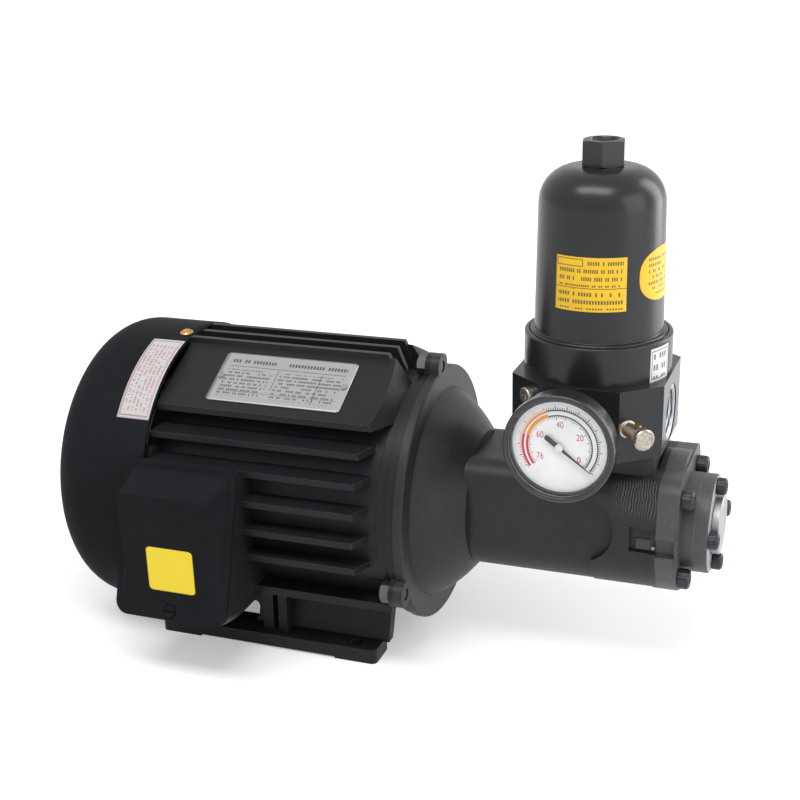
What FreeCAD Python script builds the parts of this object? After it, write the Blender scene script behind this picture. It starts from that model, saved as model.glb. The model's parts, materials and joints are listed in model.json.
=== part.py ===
import FreeCAD, Part
import math
import operator
import os
from types import SimpleNamespace

import Sketcher

Vector, Rotation, Placement = FreeCAD.Vector, FreeCAD.Rotation, FreeCAD.Placement

# Driving sizes, in millimetres and degrees. X runs along the shaft from the middle of the foot
# pattern towards the pump, Y goes away from the terminal box and Z is up from the feet.
SIZES = {
    # motor frame
    "shaft_height": 80.0,
    "frame_rear": 60.0,
    "frame_front": 80.0,
    "bore_radius": 60.0,
    "frame_wall": 4.0,
    "band_wall": 6.3,
    "band_length": 8.0,
    "fin_radius": 75.5,
    "fin_thickness": 3.2,
    "fin_first": 44.4,
    "fin_pitch": 11.35,
    "fin_end": 60.0,
    "fin_bevel": 6.0,
    "top_fin_radius": 78.0,
    "top_fin_spacing": 12.0,
    "top_fin_end": 63.0,
    "plate_angle": 62.9,
    "plate_distance": 72.9,
    "plate_length": 74.0,
    "plate_width": 34.0,
    "plate_middle": 9.1,
    "plate_thickness": 0.6,
    "land_end": 62.0,
    "land_bevel": 10.0,
    "foot_length": 126.0,
    "foot_outside": 53.5,
    "foot_inside": 34.0,
    "foot_thickness": 8.0,
    "foot_end": 23.5,
    "foot_relief": 1.0,
    "foot_hole_spacing": 100.0,
    "foot_hole_gauge": 94.0,
    "foot_hole": 3.3,
    # bolted joint between motor and adapter
    "joint_bolt_circle": 69.5,
    "joint_lug_width": 14.0,
    "joint_lug_thickness": 3.0,
    "joint_bolt_lower": 26.0,
    "spot_face": 5.9,
    "bolt_radius": 3.0,
    "bolt_clearance": 0.3,
    "bolt_head_radius": 5.0,
    "bolt_head_height": 6.0,
    "nut_width": 10.0,
    "nut_height": 5.0,
    # rear shield, fan and cowl
    "shield_thickness": 9.0,
    "shield_spigot": 4.0,
    "cowl_radius": 79.0,
    "cowl_wall": 1.6,
    "cowl_rear": 111.0,
    "cowl_overlap": 7.0,
    "cowl_round": 22.0,
    "cowl_screw": 2.0,
    "cowl_screw_angle": 84.0,
    "lug_length": 8.0,
    "lug_width": 13.0,
    "slot_width": 4.6,
    "slot_inner": 20.0,
    "slot_outer": 54.0,
    "fan_radius": 66.0,
    "fan_hub_radius": 15.0,
    "fan_width": 22.0,
    "fan_plate": 2.4,
    "blade_thickness": 2.4,
    # stator, rotor and shaft
    "core_rear": 36.0,
    "core_front": 34.0,
    "stator_bore": 36.0,
    "air_gap": 0.4,
    "slot_depth": 11.0,
    "slot_opening": 5.0,
    "coil_overhang": 14.0,
    "shaft_radius": 12.0,
    "journal_front": 10.0,
    "journal_rear": 8.5,
    "front_bearing_radius": 23.5,
    "front_bearing_width": 14.0,
    "front_bearing_ball": 3.8,
    "rear_bearing_radius": 20.0,
    "rear_bearing_width": 12.0,
    "rear_bearing_ball": 3.2,
    "race_gap": 0.05,
    # adapter housing
    "flange_radius": 67.5,
    "flange_thickness": 4.6,
    "dome_base": 56.0,
    "dome_length": 22.4,
    "dome_tip": 35.0,
    "neck_half": 30.0,
    "neck_top": 30.0,
    "neck_bottom": 33.0,
    "pump_half": 34.0,
    "pump_top": 32.0,
    "pump_bottom": 33.0,
    "pump_start": 171.0,
    "pump_joint": 203.0,
    "chamber_radius": 18.0,
    "chamber_end": 146.0,
    "suction_radius": 13.0,
    "riser_radius": 9.0,
    "recess_depth": 2.4,
    "cutaway_x": 163.5,
    "cutaway_up": 4.0,
    "cutaway_radius": 18.5,
    # coupling
    "hub_radius": 16.0,
    "hub_gap": 0.3,
    "jaw_length": 9.0,
    "spider_core": 6.0,
    "motor_stub": 106.0,
    # pump
    "pump_shaft_radius": 5.0,
    "seal_radius": 11.0,
    "seal_width": 7.0,
    "bush_radius": 8.0,
    "running_gap": 0.04,
    "spigot_radius": 20.0,
    "spigot_length": 8.0,
    "body_thickness": 10.0,
    "body_boss": 35.6,
    "nose_radius": 25.0,
    "nose_length": 6.5,
    "rotor_width": 10.0,
    "eccentricity": 1.4,
    "tooth_circle": 12.0,
    "tooth_radius": 3.0,
    "outer_rotor_radius": 15.2,
    "cover_thickness": 7.0,
    "cover_boss_radius": 15.0,
    "cover_boss_height": 4.0,
    "body_bolt_across": 23.2,
    "body_bolt_up": 21.0,
    "cover_bolt_circle": 20.5,
    "cover_bolt_radius": 2.5,
    "cover_head_radius": 4.25,
    "cover_head_height": 5.0,
    # suction filter
    "filter_middle": 165.0,
    "head_seat": 42.5,
    "head_half_length": 37.0,
    "head_half_depth": 38.0,
    "head_corner_length": 18.0,
    "head_corner_depth": 15.0,
    "head_block": 35.5,
    "collar_radius": 36.0,
    "collar_top": 54.5,
    "bowl_radius": 31.3,
    "bowl_top_radius": 29.7,
    "bowl_wall": 2.5,
    "bowl_skirt": 13.0,
    "bowl_top": 133.5,
    "bowl_round": 16.0,
    "bead_radius": 33.4,
    "bead_height": 3.6,
    "plug_width": 19.2,
    "plug_height": 12.0,
    "plug_thread": 5.0,
    "cavity_radius": 26.0,
    "cavity_floor": 20.0,
    "post_radius": 12.0,
    "post_top": 34.0,
    "port_radius": 12.1,
    "port_length": 16.0,
    "port_height": 14.5,
    "element_radius": 22.0,
    "element_fold": 4.5,
    "element_top": 116.0,
    "end_cap": 4.0,
    "core_radius": 14.0,
    "core_wall": 1.2,
    # vacuum gauge
    "gauge_middle": 163.0,
    "gauge_height": 60.0,
    "gauge_front": 72.0,
    "gauge_rear": 55.0,
    "gauge_radius": 26.0,
    "gauge_wall": 2.4,
    "dial_depth": 4.6,
    "dial_thickness": 0.8,
    "window_depth": 1.2,
    "window_thickness": 1.4,
    "socket_radius": 6.5,
    "pointer_reach": 19.5,
    "pointer_angle": 37.0,
    # vent fitting and small plugs on the head
    "vent_x": 22.0,
    "vent_y": 35.6,
    "vent_z": 17.5,
    "vent_turn": 50.0,
    "vent_length": 13.0,
    "vent_stem": 3.5,
    "knob_radius": 5.3,
    "knob_length": 5.0,
    # terminal box
    "box_tilt": 18.3,
    "box_y": 85.8,
    "box_z": 6.55,
    "box_left": 60.0,
    "box_right": 2.0,
    "box_half_height": 39.9,
    "box_rear": 70.0,
    "box_wall": 4.0,
    "box_corner": 7.0,
    "gasket_thickness": 1.0,
    "lip_thickness": 2.6,
    "cover_rise": 12.6,
    "entry_radius": 9.25,
}

FRONT_BALLS = 7
REAR_BALLS = 7
STATOR_SLOTS = 18
COWL_SLOTS = 18
FAN_BLADES = 7
INNER_LOBES = 6
SIDE_FINS = 6
OUTER_LOBES = INNER_LOBES + 1
ELEMENT_FOLDS = 24

doc = FreeCAD.newDocument("trochoid_pump")
sheet = doc.addObject("Spreadsheet::Sheet", "Sizes")
for row, (name, value) in enumerate(SIZES.items(), 1):
    sheet.set(f"A{row}", str(value))
    sheet.setAlias(f"A{row}", name)
doc.recompute()


class Size:
    """A number that knows the sheet expression it comes from."""

    def __init__(self, value, text=""):
        self.value = float(value)
        self.bound = bool(text)
        self.text = text or f"({self.value:.8g})"

    def __add__(self, other):
        return combined(self, other, operator.add, "+")

    def __radd__(self, other):
        return combined(other, self, operator.add, "+")

    def __sub__(self, other):
        return combined(self, other, operator.sub, "-")

    def __rsub__(self, other):
        return combined(other, self, operator.sub, "-")

    def __mul__(self, other):
        return combined(self, other, operator.mul, "*")

    def __rmul__(self, other):
        return combined(other, self, operator.mul, "*")

    def __truediv__(self, other):
        return combined(self, other, operator.truediv, "/")

    def __neg__(self):
        return combined(0, self, operator.sub, "-")


def size(number):
    return number if isinstance(number, Size) else Size(number)


def combined(first, second, work, sign):
    first, second = size(first), size(second)
    value = work(first.value, second.value)
    if first.bound or second.bound:
        return Size(value, f"({first.text} {sign} {second.text})")
    return Size(value)


def sheet_function(name, work):
    def apply(number):
        number = size(number)
        text = f"{name}({number.text})" if number.bound else ""
        return Size(work(number.value), text)
    return apply


cos = sheet_function("cos", lambda angle: math.cos(math.radians(angle)))
sin = sheet_function("sin", lambda angle: math.sin(math.radians(angle)))
tan = sheet_function("tan", lambda angle: math.tan(math.radians(angle)))
sqrt = sheet_function("sqrt", math.sqrt)

d = SimpleNamespace(**{name: Size(sheet.get(name), f"Sizes.{name}") for name in SIZES})
parts = []


# Bodies, sketches and features

def place(thing, at, turn=None):
    """Puts a sub-part at a point, turned by an angle about an axis, both from the sheet."""
    at = [size(value) for value in at]
    axis, angle = turn or (Vector(0, 0, 1), 0)
    angle = size(angle)
    thing.Placement = Placement(Vector(*(c.value for c in at)), Rotation(axis, angle.value))
    for letter, c in zip("xyz", at):
        if c.bound:
            thing.setExpression(f"Placement.Base.{letter}", c.text)
    if angle.bound:
        thing.setExpression("Placement.Rotation.Angle", angle.text)


def new_body(label, at=(0, 0, 0), turn=None):
    body = doc.addObject("PartDesign::Body", label)
    body.Label = label
    place(body, at, turn)
    parts.append(body)
    return body


def shaft_body(label):
    """A body whose own X axis is the shaft line."""
    return new_body(label, (0, 0, d.shaft_height))


def filter_body(label):
    """A body that stands on the filter's seat, with its Z axis on the bowl's centre line."""
    return new_body(label, (d.filter_middle, 0, d.shaft_height + d.head_seat))


def gauge_body(label):
    """A body whose own X axis points out of the gauge's face."""
    at = (d.gauge_middle, 0, d.shaft_height + d.gauge_height)
    return new_body(label, at, (Vector(0, 0, 1), -90))


def origin_feature(body, role):
    return next(f for f in body.Origin.OriginFeatures if f.Role == role)


def sketch_on(body, role, offset=0):
    sketch = body.newObject("Sketcher::SketchObject", "Sketch")
    sketch.AttachmentSupport = [(origin_feature(body, role), "")]
    sketch.MapMode = "FlatFace"
    offset = size(offset)
    sketch.AttachmentOffset = Placement(Vector(0, 0, offset.value), Rotation())
    if offset.bound:
        sketch.setExpression("AttachmentOffset.Base.z", offset.text)
    return sketch


def tilted_sketch(body, role, angle, x, y, z, axis=Vector(1, 0, 0)):
    """A sketch plane turned by an angle about one of its own lines, with its origin moved."""
    sketch = sketch_on(body, role)
    spot = [size(value) for value in (x, y, z)]
    angle = size(angle)
    sketch.AttachmentOffset = Placement(Vector(*(c.value for c in spot)),
                                        Rotation(axis, angle.value))
    sketch.setExpression("AttachmentOffset.Rotation.Angle", angle.text)
    for letter, value in zip("xyz", spot):
        if value.bound:
            sketch.setExpression(f"AttachmentOffset.Base.{letter}", value.text)
    return sketch


def dimension(sketch, kind, where, value):
    number = sketch.addConstraint(Sketcher.Constraint(kind, *where, value.value))
    if value.bound:
        sketch.setExpression(f"Constraints[{number}]", value.text)


def pin_down(sketch, geometry, point, x, y):
    dimension(sketch, "DistanceX", (-1, 1, geometry, point), x)
    dimension(sketch, "DistanceY", (-1, 1, geometry, point), y)


def circle(sketch, x, y, radius):
    x, y, radius = size(x), size(y), size(radius)
    shape = Part.Circle(Vector(x.value, y.value, 0), Vector(0, 0, 1), radius.value)
    geometry = sketch.addGeometry(shape, False)
    pin_down(sketch, geometry, 3, x, y)
    dimension(sketch, "Radius", (geometry,), radius)


def corner_arc(before, corner, after, radius):
    """The two ends and the centre of the arc that rounds a corner."""
    back, ahead = (before - corner).normalize(), (after - corner).normalize()
    half = math.acos(max(-1.0, min(1.0, back.dot(ahead)))) / 2
    reach = radius / math.tan(half)
    centre = corner + (back + ahead).normalize() * (radius / math.sin(half))
    return corner + back * reach, corner + ahead * reach, centre


def outline(sketch, corners):
    """A closed line through corners (x, y) or (x, y, radius of the rounding)."""
    places = [(size(c[0]), size(c[1]), size(c[2]) if len(c) > 2 else None) for c in corners]
    spots = [Vector(x.value, y.value, 0) for x, y, _ in places]
    count = len(places)
    ends = []
    for k, (x, y, radius) in enumerate(places):
        if radius is None:
            ends.append((spots[k], spots[k], None))
        else:
            ends.append(corner_arc(spots[k - 1], spots[k], spots[(k + 1) % count], radius.value))
    lines = []
    for k in range(count):
        segment = Part.LineSegment(ends[k][1], ends[(k + 1) % count][0])
        lines.append(sketch.addGeometry(segment, False))
    for k, (x, y, radius) in enumerate(places):
        before, after = lines[k - 1], lines[k]
        if radius is None:
            sketch.addConstraint(Sketcher.Constraint("Coincident", before, 2, after, 1))
            pin_down(sketch, after, 1, x, y)
            continue
        start, end, centre = ends[k]
        first = math.atan2(start.y - centre.y, start.x - centre.x)
        last = math.atan2(end.y - centre.y, end.x - centre.x)
        forward = (last - first) % (2 * math.pi) < math.pi
        round_line = Part.Circle(centre, Vector(0, 0, 1), radius.value)
        span = (first, last) if forward else (last, first)
        arc = sketch.addGeometry(Part.ArcOfCircle(round_line, *span), False)
        enter, leave = (1, 2) if forward else (2, 1)
        sketch.addConstraint(Sketcher.Constraint("Tangent", before, 2, arc, enter))
        sketch.addConstraint(Sketcher.Constraint("Tangent", arc, leave, after, 1))
        dimension(sketch, "Radius", (arc,), radius)
        corner = sketch.addGeometry(Part.Point(spots[k]), True)
        sketch.addConstraint(Sketcher.Constraint("PointOnObject", corner, 1, before))
        sketch.addConstraint(Sketcher.Constraint("PointOnObject", corner, 1, after))
        pin_down(sketch, corner, 1, x, y)


def rectangle(sketch, x0, y0, x1, y1, radius=None):
    corners = [(x0, y0), (x1, y0), (x1, y1), (x0, y1)]
    outline(sketch, corners if radius is None else [c + (radius,) for c in corners])


def regular(sketch, x, y, across, sides=6, turn=0):
    """A regular polygon measured across its flats."""
    reach = across / (2 * math.cos(math.pi / sides))
    step = 360 / sides
    outline(sketch, [(x + reach * cos(turn + step * (k + 0.5)), y + reach * sin(turn + step * (k + 0.5)))
                     for k in range(sides)])


def around(radius, angle):
    """Sketch place on the plane across the shaft, at an angle counted up from the front."""
    return -radius * cos(angle), radius * sin(angle)


def ear(sketch, angle, inner, outer, width, radius=None):
    """A radial lug with its outer corners rounded."""
    across_y, across_z = sin(angle), cos(angle)
    corners = []
    for reach, side in ((inner, -1), (outer, -1), (outer, 1), (inner, 1)):
        y, z = around(reach, angle)
        corner = (y + across_y * width * side / 2, z + across_z * width * side / 2)
        corners.append(corner + (radius,) if radius is not None and reach is outer else corner)
    outline(sketch, corners)


def feature(body, kind, sketch, length, both):
    made = body.newObject(kind, "Feature")
    made.Profile = sketch
    made.Refine = False
    length = size(length)
    made.Length = length.value
    if length.bound:
        made.setExpression("Length", length.text)
    if both:
        made.SideType = "Symmetric"
    return made


def pad(body, sketch, length, both=False):
    made = feature(body, "PartDesign::Pad", sketch, length, both)
    doc.recompute()
    return made


def cut(body, sketch, length, both=False):
    """A pocket that goes the way its sketch plane faces."""
    made = feature(body, "PartDesign::Pocket", sketch, length, both)
    made.Reversed = True
    doc.recompute()
    return made


def spun(body, corners, axis="H_Axis", kind="PartDesign::Revolution"):
    """A profile of (along, radius) turned about the body's X axis, or (radius, up) about Z."""
    sketch = sketch_on(body, "XZ_Plane")
    outline(sketch, corners)
    made = body.newObject(kind, "Turned")
    made.Profile = sketch
    made.ReferenceAxis = (sketch, [axis])
    made.Angle = 360
    doc.recompute()
    return made


def groove(body, corners, axis="H_Axis"):
    return spun(body, corners, axis, "PartDesign::Groove")


def box_corners(x0, y0, x1, y1):
    return [(x0, y0), (x1, y0), (x1, y1), (x0, y1)]


def patterned(body, features, count, axis="X_Axis"):
    pattern = body.newObject("PartDesign::PolarPattern", "Pattern")
    pattern.Originals = features
    pattern.Axis = (origin_feature(body, axis), [""])
    pattern.Angle = 360
    pattern.Occurrences = count
    body.Tip = pattern
    doc.recompute()
    return pattern


def tube(label, x0, x1, inner, outer):
    body = shaft_body(label)
    spun(body, box_corners(x0, inner, x1, outer))
    return body


def disc(body, x, y, z, radius, length):
    sketch = sketch_on(body, "YZ_Plane", x)
    circle(sketch, y, z, radius)
    return pad(body, sketch, length)


def drill(body, x, y, z, radius, length):
    """A round hole from the plane at x towards +X."""
    sketch = sketch_on(body, "YZ_Plane", x)
    circle(sketch, y, z, radius)
    return cut(body, sketch, length)


def drill_all(body, x, spots, radius, length):
    sketch = sketch_on(body, "YZ_Plane", x)
    for y, z in spots:
        circle(sketch, y, z, radius)
    return cut(body, sketch, length)


def cap_screws(body, seat, spots, radius, head_radius, head_height, shank):
    """Socket head screws along X: the seat under the head, the head beyond it."""
    for x, reach, wide in ((seat - shank, shank, radius), (seat, head_height, head_radius)):
        sketch = sketch_on(body, "YZ_Plane", x)
        for y, z in spots:
            circle(sketch, y, z, wide)
        pad(body, sketch, reach)
    sketch = sketch_on(body, "YZ_Plane", seat + head_height * 0.4)
    for y, z in spots:
        regular(sketch, y, z, radius * 1.65)
    cut(body, sketch, head_height)


# Shared stations along the shaft

BODY_RADIUS = d.bore_radius + d.frame_wall
BAND_RADIUS = d.bore_radius + d.band_wall
COWL_RIM = d.cowl_overlap - d.frame_rear
FLANGE_FRONT = d.frame_front + d.flange_thickness
BEARING_FRONT = d.frame_front - 6
BEARING_FRONT_END = BEARING_FRONT + d.front_bearing_width
BEARING_REAR_END = -d.frame_rear - 2.5
BEARING_REAR = BEARING_REAR_END - d.rear_bearing_width
BODY_FRONT = d.pump_joint + d.body_thickness
NOSE_FRONT = BODY_FRONT + d.nose_length
COVER_FRONT = NOSE_FRONT + d.cover_thickness
ROTOR_REAR = NOSE_FRONT - d.rotor_width
JOINT_ANGLES = (90, -d.joint_bolt_lower, 180 + d.joint_bolt_lower)
JOINT_SPOTS = [around(d.joint_bolt_circle, angle) for angle in JOINT_ANGLES]
COWL_ANGLES = [d.cowl_screw_angle + turn for turn in (0, -120, 120)]
SHIELD_ANGLES = [d.cowl_screw_angle + turn for turn in (-60, 60, 180)]
SHIELD_SPOTS = [around(d.bore_radius + 8, angle) for angle in SHIELD_ANGLES]
COWL_SCREW_X = COWL_RIM - 5
COWL_SCREW_REACH = 8


def fin_section(sketch, across, up, reach, root):
    """One thin fin seen from the end; a fin lies flat on the sides and stands up on top."""
    half = d.fin_thickness / 2
    if across:
        outline(sketch, [(across * root, up - half), (across * reach, up - half),
                         (across * reach, up + half), (across * root, up + half)])
    else:
        outline(sketch, [(up - half, root), (up + half, root), (up + half, reach),
                         (up - half, reach)])


def side_fin(sketch, side, number):
    angle = d.fin_first - d.fin_pitch * number
    height = d.fin_radius * sin(angle)
    root = sqrt(BODY_RADIUS * BODY_RADIUS - height * height) - 2
    fin_section(sketch, side, height, d.fin_radius * cos(angle), root)


def bevel(body, start, length):
    """Turns the front ends of what stands on the barrel down to it in one slope."""
    outside = d.top_fin_radius + 1
    low = BODY_RADIUS + 0.5
    groove(body, [(start, outside), (start + length, low), (start + length + 4, low),
                  (start + length + 4, outside)])


def frame_fins(body):
    rear = COWL_RIM + 0.3
    sketch = sketch_on(body, "YZ_Plane", rear)
    for number in (-1, 0, 1):
        across = d.top_fin_spacing * number
        root = sqrt(BODY_RADIUS * BODY_RADIUS - across * across) - 2
        fin_section(sketch, 0, across, d.top_fin_radius, root)
    pad(body, sketch, d.top_fin_end + d.fin_bevel + 1 - rear)
    bevel(body, d.top_fin_end, d.fin_bevel)
    behind_box = range(2, SIDE_FINS)
    sketch = sketch_on(body, "YZ_Plane", rear)
    for number in range(SIDE_FINS):
        side_fin(sketch, 1, number)
        if number not in behind_box:
            side_fin(sketch, -1, number)
    pad(body, sketch, d.fin_end + d.fin_bevel + 1 - rear)
    sketch = sketch_on(body, "YZ_Plane", d.box_right)
    for number in behind_box:
        side_fin(sketch, -1, number)
    pad(body, sketch, d.fin_end + d.fin_bevel + 1 - d.box_right)
    bevel(body, d.fin_end, d.fin_bevel)


def plate_lands(body):
    """Flat lands for nameplates, from the top fins down to the tips of the first side fins."""
    tilt = d.plate_angle
    inner = d.top_fin_spacing
    tip = d.fin_radius * sin(d.fin_first)
    high, low = tip + d.fin_thickness / 2, tip - d.fin_thickness / 2
    outer = (d.plate_distance - high * sin(tilt)) / cos(tilt)
    rear = COWL_RIM + 0.3
    sketch = sketch_on(body, "YZ_Plane", rear)
    for side in (-1, 1):
        outline(sketch, [(side * inner, (d.plate_distance - inner * cos(tilt)) / sin(tilt)),
                         (side * outer, high), (side * outer, low),
                         (side * (d.bore_radius * cos(d.fin_first) - 8), low),
                         (side * inner, d.bore_radius + 1)])
    pad(body, sketch, d.frame_front - d.band_length - rear)
    bevel(body, d.land_end, d.land_bevel)


def foot_rails(body):
    """Two rails with webs up to the barrel, relieved between the end pads."""
    base = -d.shaft_height
    half = d.foot_length / 2
    top = base + d.foot_thickness - 1
    sketch = sketch_on(body, "XY_Plane", base)
    for side in (-1, 1):
        rectangle(sketch, -half, d.foot_inside * side, half, d.foot_outside * side, 3)
    pad(body, sketch, d.foot_thickness)
    sketch = sketch_on(body, "YZ_Plane", COWL_RIM + 1)
    for side in (-1, 1):
        outline(sketch, [(side * (d.foot_inside + 1), top), (side * (d.foot_inside + 7), top),
                         (side * d.foot_inside, -d.bore_radius + 11),
                         (side * (d.foot_inside - 6), -d.bore_radius + 5)])
    pad(body, sketch, half + 2 - COWL_RIM)
    for start, width in ((-4, 6), (5, 5)):
        sketch = sketch_on(body, "YZ_Plane", start)
        for side in (-1, 1):
            outline(sketch, [(side * (d.foot_inside + 2), top), (side * (d.foot_outside - 6), top),
                             (side * (d.foot_inside + 12), -d.bore_radius + 20),
                             (side * (d.foot_inside - 2), -d.bore_radius + 20)])
        pad(body, sketch, width)
    sketch = sketch_on(body, "XZ_Plane")
    rectangle(sketch, -26, base + d.foot_thickness, -10, base + d.foot_thickness + 10, 3)
    cut(body, sketch, 2 * d.foot_outside, both=True)
    sketch = sketch_on(body, "XY_Plane", base)
    reach = half - d.foot_end
    rectangle(sketch, -reach, -d.foot_outside - 1, reach, d.foot_outside + 1)
    cut(body, sketch, d.foot_relief)
    sketch = sketch_on(body, "XY_Plane", base)
    for x in (-d.foot_hole_spacing / 2, d.foot_hole_spacing / 2):
        for y in (-d.foot_hole_gauge / 2, d.foot_hole_gauge / 2):
            circle(sketch, x, y, d.foot_hole)
    cut(body, sketch, d.foot_thickness + 6)


def side_ledges(body):
    """The thick lowest fins, which run into the front lugs."""
    height = -d.joint_bolt_circle * sin(d.joint_bolt_lower) - 9.3
    half = d.fin_thickness / 2 + 0.5
    front = d.frame_front - d.joint_lug_thickness
    for side, start in ((-1, d.box_right), (1, COWL_RIM + 0.3)):
        sketch = sketch_on(body, "YZ_Plane", start)
        rectangle(sketch, side * 46, height - half, side * 63, height + half)
        pad(body, sketch, front - start)


def motor_frame():
    body = shaft_body("motor_frame")
    front = d.frame_front
    spun(body, [(-d.frame_rear, d.bore_radius), (-d.frame_rear, BODY_RADIUS),
                (front - d.band_length - 2, BODY_RADIUS), (front - d.band_length, BAND_RADIUS),
                (front, BAND_RADIUS), (front, d.bore_radius)])
    frame_fins(body)
    plate_lands(body)
    foot_rails(body)
    side_ledges(body)
    lug = front - d.joint_lug_thickness
    joint_ears(body, lug, d.joint_lug_thickness, d.bore_radius + 1)
    drill_all(body, lug - 12, JOINT_SPOTS, d.spot_face, 12)
    drill_all(body, lug - 1, JOINT_SPOTS, d.bolt_radius + d.bolt_clearance,
              d.joint_lug_thickness + 2)
    sketch = sketch_on(body, "YZ_Plane", -d.frame_rear)
    for angle in COWL_ANGLES:
        ear(sketch, angle, d.bore_radius + 1, d.cowl_radius - d.cowl_wall - 0.3, d.lug_width)
    pad(body, sketch, d.cowl_overlap)
    turned_holes(body, d.cowl_radius - COWL_SCREW_REACH, d.cowl_screw)
    sketch = sketch_on(body, "YZ_Plane", -d.frame_rear)
    for angle in SHIELD_ANGLES:
        ear(sketch, angle, d.bore_radius + 1, d.bore_radius + 13, d.lug_width, 4)
    pad(body, sketch, d.lug_length)
    drill_all(body, -d.frame_rear, SHIELD_SPOTS, d.bolt_radius, d.lug_length - 2)
    sketch = sketch_on(body, "XZ_Plane", d.bore_radius - 8)
    low = d.box_z + d.box_half_height * cos(d.box_tilt)
    high = d.box_half_height * cos(d.box_tilt) - d.box_z - 2
    rectangle(sketch, COWL_RIM + 1, -low, d.box_right, high)
    pad(body, sketch, d.box_rear - d.bore_radius + 8)
    groove(body, box_corners(-d.frame_rear - 1, 0, front + 1, d.bore_radius))
    sketch = sketch_on(body, "XZ_Plane", d.bore_radius - 10)
    circle(sketch, COWL_RIM + 10, -d.box_z, 7)
    cut(body, sketch, 30)
    return body


def joint_ears(body, start, thickness, inner):
    """The lugs that the joint bolts go through."""
    outer = d.joint_bolt_circle + d.joint_lug_width / 2 - 0.5
    sketch = sketch_on(body, "YZ_Plane", start)
    for angle in JOINT_ANGLES:
        ear(sketch, angle, inner, outer, d.joint_lug_width, 6)
    pad(body, sketch, thickness)


def cowl_screws():
    """Three pan head screws that point at the shaft through the cowl into the frame's lugs."""
    turn = (Vector(1, 0, 0), 90 - d.cowl_screw_angle)
    body = new_body("cowl_screws", (0, 0, d.shaft_height), turn)
    seat = d.cowl_radius
    for reach, length, wide in ((seat - COWL_SCREW_REACH, COWL_SCREW_REACH, d.cowl_screw),
                                (seat, 2.2, d.cowl_screw + 1.9)):
        sketch = sketch_on(body, "XY_Plane", reach)
        circle(sketch, COWL_SCREW_X, 0, wide)
        patterned(body, [pad(body, sketch, length)], len(COWL_ANGLES))
    sketch = sketch_on(body, "XY_Plane", seat + 1.2)
    rectangle(sketch, COWL_SCREW_X - 0.5, -4, COWL_SCREW_X + 0.5, 4)
    patterned(body, [cut(body, sketch, 3)], len(COWL_ANGLES))


def rear_shield():
    body = shaft_body("rear_end_shield")
    back = -d.frame_rear - d.shield_thickness
    seat = BEARING_REAR_END
    spun(body, [(back - 8, 15), (back - 8, d.rear_bearing_radius + 5),
                (back, d.rear_bearing_radius + 8), (back, BODY_RADIUS),
                (-d.frame_rear, BODY_RADIUS), (-d.frame_rear, d.bore_radius),
                (-d.frame_rear + d.shield_spigot, d.bore_radius),
                (-d.frame_rear + d.shield_spigot, d.bore_radius - 4),
                (-d.frame_rear, d.bore_radius - 6), (-d.frame_rear, d.rear_bearing_radius + 3),
                (seat, d.rear_bearing_radius + 3), (seat, d.rear_bearing_radius),
                (BEARING_REAR - 1.5, d.rear_bearing_radius), (BEARING_REAR - 1.5, 15)])
    sketch = sketch_on(body, "YZ_Plane", back)
    for angle in SHIELD_ANGLES:
        ear(sketch, angle, d.bore_radius - 2, d.bore_radius + 13, d.lug_width, 4)
    pad(body, sketch, d.shield_thickness)
    drill_all(body, back - 1, SHIELD_SPOTS, d.bolt_radius + d.bolt_clearance,
              d.shield_thickness + 2)
    screws = shaft_body("shield_screws")
    for x, length, wide in ((back - 4, 4, d.bolt_head_radius - 0.5),
                            (back, d.shield_thickness + d.lug_length - 3, d.bolt_radius)):
        sketch = sketch_on(screws, "YZ_Plane", x)
        for y, z in SHIELD_SPOTS:
            circle(sketch, y, z, wide)
        pad(screws, sketch, length)
    spring = shaft_body("wave_spring")
    outer = d.rear_bearing_radius - 0.3
    spun(spring, [(BEARING_REAR - 1.5, outer - 4), (BEARING_REAR - 1.5, outer - 3),
                  (BEARING_REAR - 0.6, outer), (BEARING_REAR, outer), (BEARING_REAR, outer - 1),
                  (BEARING_REAR - 0.9, outer - 4)])


def fan_cowl():
    body = shaft_body("fan_cowl")
    inner = d.cowl_radius - d.cowl_wall
    rear = -d.cowl_rear
    spun(body, [(COWL_RIM, inner), (COWL_RIM, d.cowl_radius),
                (rear, d.cowl_radius, d.cowl_round), (rear, 0),
                (rear + d.cowl_wall, 0), (rear + d.cowl_wall, inner, d.cowl_round - d.cowl_wall)])
    sketch = sketch_on(body, "YZ_Plane", rear - 1)
    half = d.slot_width / 2
    rectangle(sketch, -half, d.slot_inner, half, d.slot_outer, half - 0.1)
    slot = cut(body, sketch, d.cowl_wall + 2)
    patterned(body, [slot], COWL_SLOTS)
    turned_holes(body, d.cowl_radius - d.cowl_wall - 1, d.cowl_screw + 0.2)


def turned_holes(body, start, radius):
    """Holes for the cowl screws, on lines that point at the shaft."""
    turn = 90 - d.cowl_screw_angle
    sketch = tilted_sketch(body, "XY_Plane", turn, 0, -start * sin(turn), start * cos(turn))
    circle(sketch, COWL_SCREW_X, 0, radius)
    patterned(body, [cut(body, sketch, d.cowl_radius + 2 - start)], len(COWL_ANGLES))


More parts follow.
